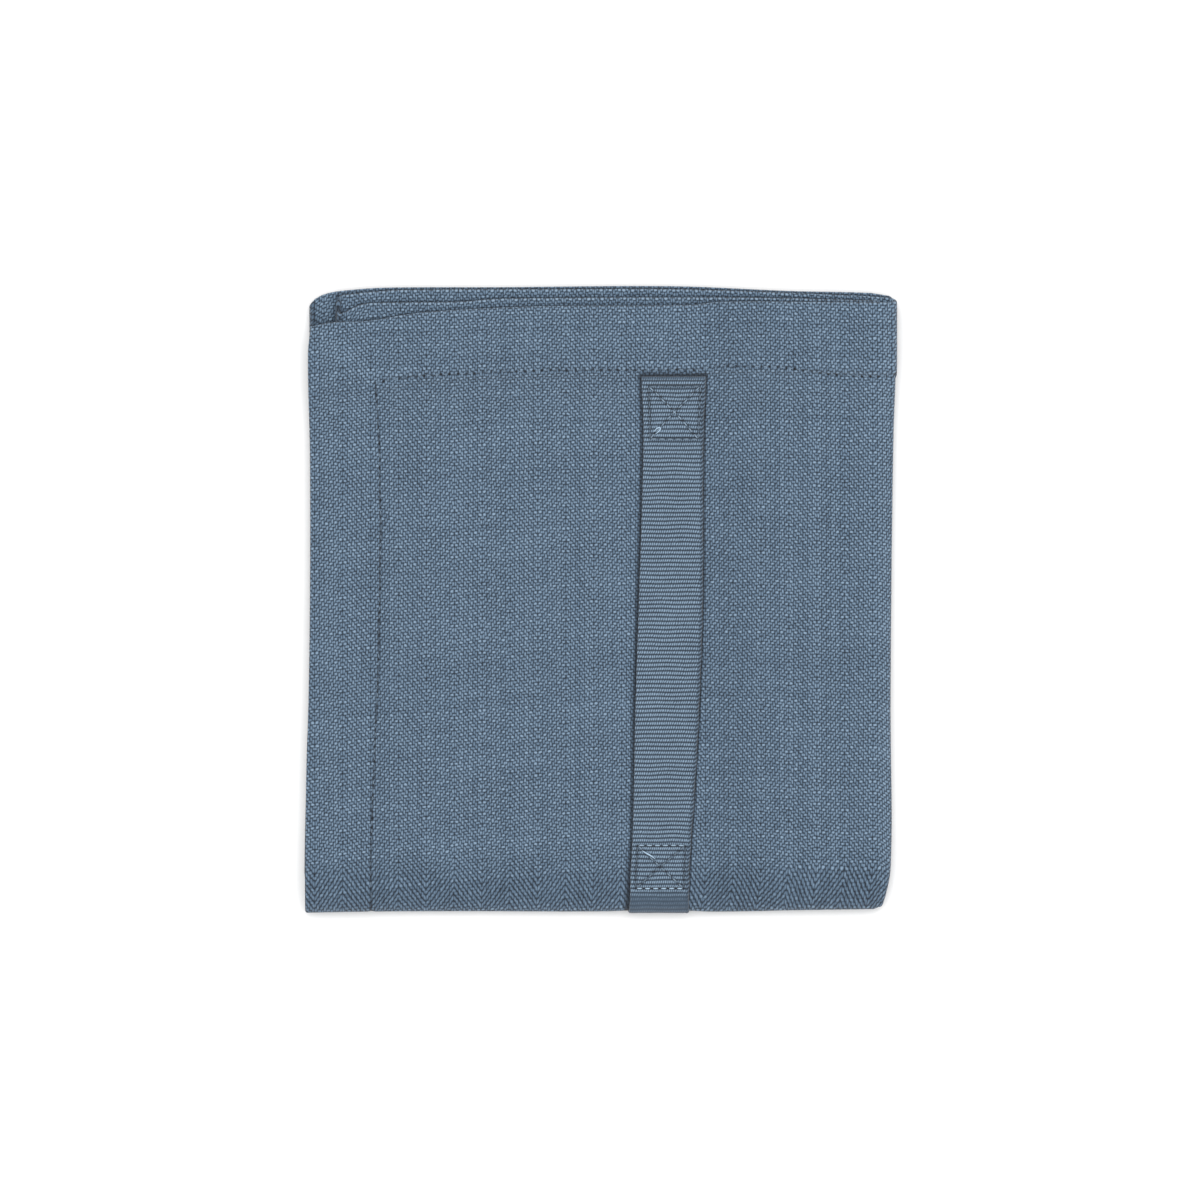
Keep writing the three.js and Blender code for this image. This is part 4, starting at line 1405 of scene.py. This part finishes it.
def towel_cotton(cloth, sewing):
    """Herringbone cotton: painted shade in the pores and the needle holes, painted highlights on
    the crests, and the marks' painted light and shade.
    """
    material, g = new_material("towel_cotton")
    u, v = flat_place(g)
    bend = g.mark("bend")
    height = herringbone_nodes(g, u, v, bend, cloth)
    shade, fine = fibres(g, u, v, height, amount=0.34)
    holes = hem_holes(g, u, v, cloth, sewing)
    # Painted light and shade, each as a change of the shade: painted shade under the layers above,
    # a painted shadow beside the tape, painted shade on the bottom fold's bend, a painted highlight
    # at the hemmed edges, painted highlights along the side fold and the corner's ridge with
    # painted shade right of the tape, and painted shade in the needle holes.
    changes = (
        (g.fade(g.mark("out"), -0.2, 1.4), UNDER_PAINTED_SHADE),
        (g.fade(g.mark("margin"), 0.4, 2.2), BESIDE_TAPE_PAINTED_SHADOW),
        (bend, BEND_PAINTED_SHADE),
        (g.fade(g.mark("from_end"), 0.2, 1.3), RIM_PAINTED_HIGHLIGHT),
        (g.mark("pale"), PAINTED_LIGHTNESS_CHANGE),
        (holes, HOLE_PAINTED_SHADE),
    )
    for mask, change in changes:
        shade = g.math("MULTIPLY", shade, g.math("MULTIPLY_ADD", mask, change, 1.0))
    colours = g.ramp(shade, (cloth.dark, cloth.middle, cloth.light))
    relief = g.math("MULTIPLY_ADD", fine, 0.3, height)
    relief = g.math("MULTIPLY_ADD", holes, -1.2, relief)
    plain_shader(g, colours, relief, distance=0.00022, roughness=0.95, sheen=0.12)
    return material


def tape_cotton(tape, ribs_per_mm):
    """Ribbed cotton tape: threads crossing each rib, painted shade in the grooves, painted
    highlights on the rib crests and a slanted selvedge.
    """
    material, g = new_material("tape_cotton")
    u, v = flat_place(g)
    ribs = g.math("MULTIPLY", v, ribs_per_mm)
    wave = g.uneven(g.joined(u, v), 0.4)
    rib = g.math("FRACT", g.math("MULTIPLY_ADD", wave, 0.16, ribs))
    half = g.math("MULTIPLY", g.math("FLOORED_MODULO", g.math("FLOOR", ribs), 2.0), 0.5)
    beads = g.math("ADD", g.math("DIVIDE", u, tape.bead_pitch / MM), half)
    beads = g.math("MULTIPLY_ADD", rib, 0.5, beads)
    beads = g.math("MULTIPLY_ADD", wave, 1.2, beads)
    bead = g.smooth(g.math("PINGPONG", beads, 0.5), 0.0, 0.4)
    bead = g.math("MULTIPLY_ADD", bead, 0.6, 0.4)
    face = g.math("MULTIPLY", dome(g, rib, 0.8), bead)
    slant = g.math("FRACT", g.math("MULTIPLY_ADD", u, 0.55, ribs))
    slant = g.math("MULTIPLY_ADD", groove(g, slant, 1.0), -0.75, 0.75)
    edge = g.math("MULTIPLY", g.smooth(u, SELVEDGE_FROM, SELVEDGE_FROM + 0.5), 0.85)
    height = g.blend(face, slant, edge)
    height = g.blend(height, g.math("MULTIPLY_ADD", bead, 0.4, 0.15), g.mark("turned"))
    # Painted shade in the troughs under the sewn boxes' stitches.
    height = g.math("MULTIPLY_ADD", g.mark("seam"), -0.4, height)
    # Below the lower box the colour evens out to a painted shade where the tape turns round the
    # bottom fold.
    faint = g.math("MULTIPLY", g.smooth(v, FAINT_FROM, FAINT_FROM + FAINT_REACH), 0.7)
    height = g.blend(height, 0.4, faint)
    shade, fine = fibres(g, u, v, height, amount=0.3)
    colours = g.ramp(shade, (tape.dark, tape.middle, tape.light))
    relief = g.math("MULTIPLY_ADD", fine, 0.3, height)
    plain_shader(g, colours, relief, distance=0.0001, roughness=0.9, sheen=0.2)
    return material


def sewing_thread(sewing):
    """Sewing thread: painted shade or painted highlight by each stitch's mark, with fine fibres."""
    material, g = new_material("sewing_thread")
    u, v = g.millimetres(g.add("ShaderNodeTexCoord").outputs["Object"])
    shade, fine = fibres(g, u, v, g.mark("tone"), amount=0.35)
    colours = g.ramp(shade, (sewing.shaded, sewing.bright))
    plain_shader(g, colours, fine, distance=0.00006, roughness=0.6, sheen=0.1)
    return material


def floor_paper(stage):
    """Plain paper, near white, with the faintest unevenness."""
    material, g = new_material("floor_paper")
    grain = g.noise(g.add("ShaderNodeTexCoord").outputs["Object"], 900.0)
    colours = g.ramp(grain, (tuple(0.985 * c for c in stage.floor), stage.floor))
    plain_shader(g, colours, grain, distance=0.00001, roughness=0.9, sheen=0.0)
    return material


def soft_light(name, place, target, size, power):
    """A square area light that looks at a point."""
    light = bpy.data.lights.new(name, "AREA")
    light.shape = "SQUARE"
    light.size = size
    light.energy = power
    lamp = bpy.data.objects.new(name, light)
    bpy.context.scene.collection.objects.link(lamp)
    lamp.location = place
    direction = Vector(target) - Vector(place)
    lamp.rotation_euler = direction.to_track_quat("-Z", "Y").to_euler()


class TOWEL_OT_make_stage(Operator):
    """Makes the floor, the lights and the camera straight above."""

    bl_idname = "towel.make_stage"
    bl_label = "Make stage"

    def execute(self, context):
        stage = context.scene.towel_stage
        square = np.array([[-1, -1], [1, -1], [1, 1], [-1, 1]]) * FLOOR_REACH
        corners = np.column_stack([square, np.full(4, -FLOOR_DROP)]) / MM
        floor = add_piece("floor", corners, np.array([[0, 1, 2, 3]]))
        floor.data.materials.append(floor_paper(stage))
        soft_light("key_light", KEY_PLACE, (0, 0, 0), KEY_SIZE, stage.key_power)
        world = bpy.data.worlds.new("pale_room")
        world.use_nodes = True
        background = world.node_tree.nodes["Background"]
        background.inputs["Color"].default_value = (1, 1, 1, 1)
        background.inputs["Strength"].default_value = stage.sky
        context.scene.world = world
        data = bpy.data.cameras.new("above")
        data.type = "ORTHO"
        data.ortho_scale = stage.picture_width
        data.clip_start = 0.05
        data.clip_end = 10
        camera = bpy.data.objects.new("above", data)
        context.scene.collection.objects.link(camera)
        camera.location = (0, 0, CAMERA_HEIGHT)
        context.scene.camera = camera
        context.scene.view_settings.view_transform = "Standard"
        return {"FINISHED"}


class TOWEL_OT_sew_hems(Operator):
    """Makes the rows of stitches of the hems."""

    bl_idname = "towel.sew_hems"
    bl_label = "Sew hems"

    def execute(self, context):
        scene = context.scene
        piece = make_hem_stitches(scene.towel_cloth, scene.towel_sewing)
        piece.data.materials.append(sewing_thread(scene.towel_sewing))
        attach(piece, "root")
        return {"FINISHED"}


class TOWEL_OT_make_cloth(Operator):
    """Makes the folded cloth with its hems."""

    bl_idname = "towel.make_cloth"
    bl_label = "Make cloth"

    def execute(self, context):
        scene = context.scene
        piece = make_cloth(scene.towel_cloth)
        piece.data.materials.append(towel_cotton(scene.towel_cloth, scene.towel_sewing))
        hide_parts("towel_cloth")
        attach(piece, "root")
        return {"FINISHED"}


class TOWEL_OT_make_tape(Operator):
    """Makes the hanging tape with its sewn boxes."""

    bl_idname = "towel.make_tape"
    bl_label = "Make tape"

    def execute(self, context):
        scene = context.scene
        piece, surface, ribs = make_tape(scene.towel_cloth, scene.towel_tape)
        piece.data.materials.append(tape_cotton(scene.towel_tape, ribs))
        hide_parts("hanging_tape")
        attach(piece, "root")
        stitches = make_tape_stitches(surface, scene.towel_sewing)
        stitches.data.materials.append(bpy.data.materials["sewing_thread"])
        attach(stitches, "root")
        return {"FINISHED"}


class TOWEL_PT_panel(Panel):
    """Lists the sizes, the colours and the makers."""

    bl_idname = "TOWEL_PT_panel"
    bl_label = "Folded towel"
    bl_space_type = "VIEW_3D"
    bl_region_type = "UI"
    bl_category = "Towel"

    def draw(self, context):
        for name in SETTINGS:
            box = self.layout.box()
            group = getattr(context.scene, name)
            for key in group.__annotations__:
                box.prop(group, key)
        for operator in OPERATORS:
            self.layout.operator(operator.bl_idname)


SETTINGS = {
    "towel_cloth": ClothSettings,
    "towel_tape": TapeSettings,
    "towel_sewing": SewingSettings,
    "towel_stage": StageSettings,
}
OPERATORS = (
    TOWEL_OT_make_stage, TOWEL_OT_sew_hems, TOWEL_OT_make_cloth, TOWEL_OT_make_tape,
)


def register():
    """Registers the settings, on the scene, then the operators and the panel."""
    for name, group in SETTINGS.items():
        bpy.utils.register_class(group)
        setattr(bpy.types.Scene, name, PointerProperty(type=group))
    for cls in (*OPERATORS, TOWEL_PT_panel):
        bpy.utils.register_class(cls)


def unregister():
    """Takes back what register did, in the opposite order."""
    for cls in (TOWEL_PT_panel, *reversed(OPERATORS)):
        bpy.utils.unregister_class(cls)
    for name, group in reversed(SETTINGS.items()):
        delattr(bpy.types.Scene, name)
        bpy.utils.unregister_class(group)


def main():
    register()
    bpy.ops.towel.make_stage()
    bpy.ops.towel.sew_hems()
    bpy.ops.towel.make_cloth()
    bpy.ops.towel.make_tape()


if __name__ == "__main__":
    main()
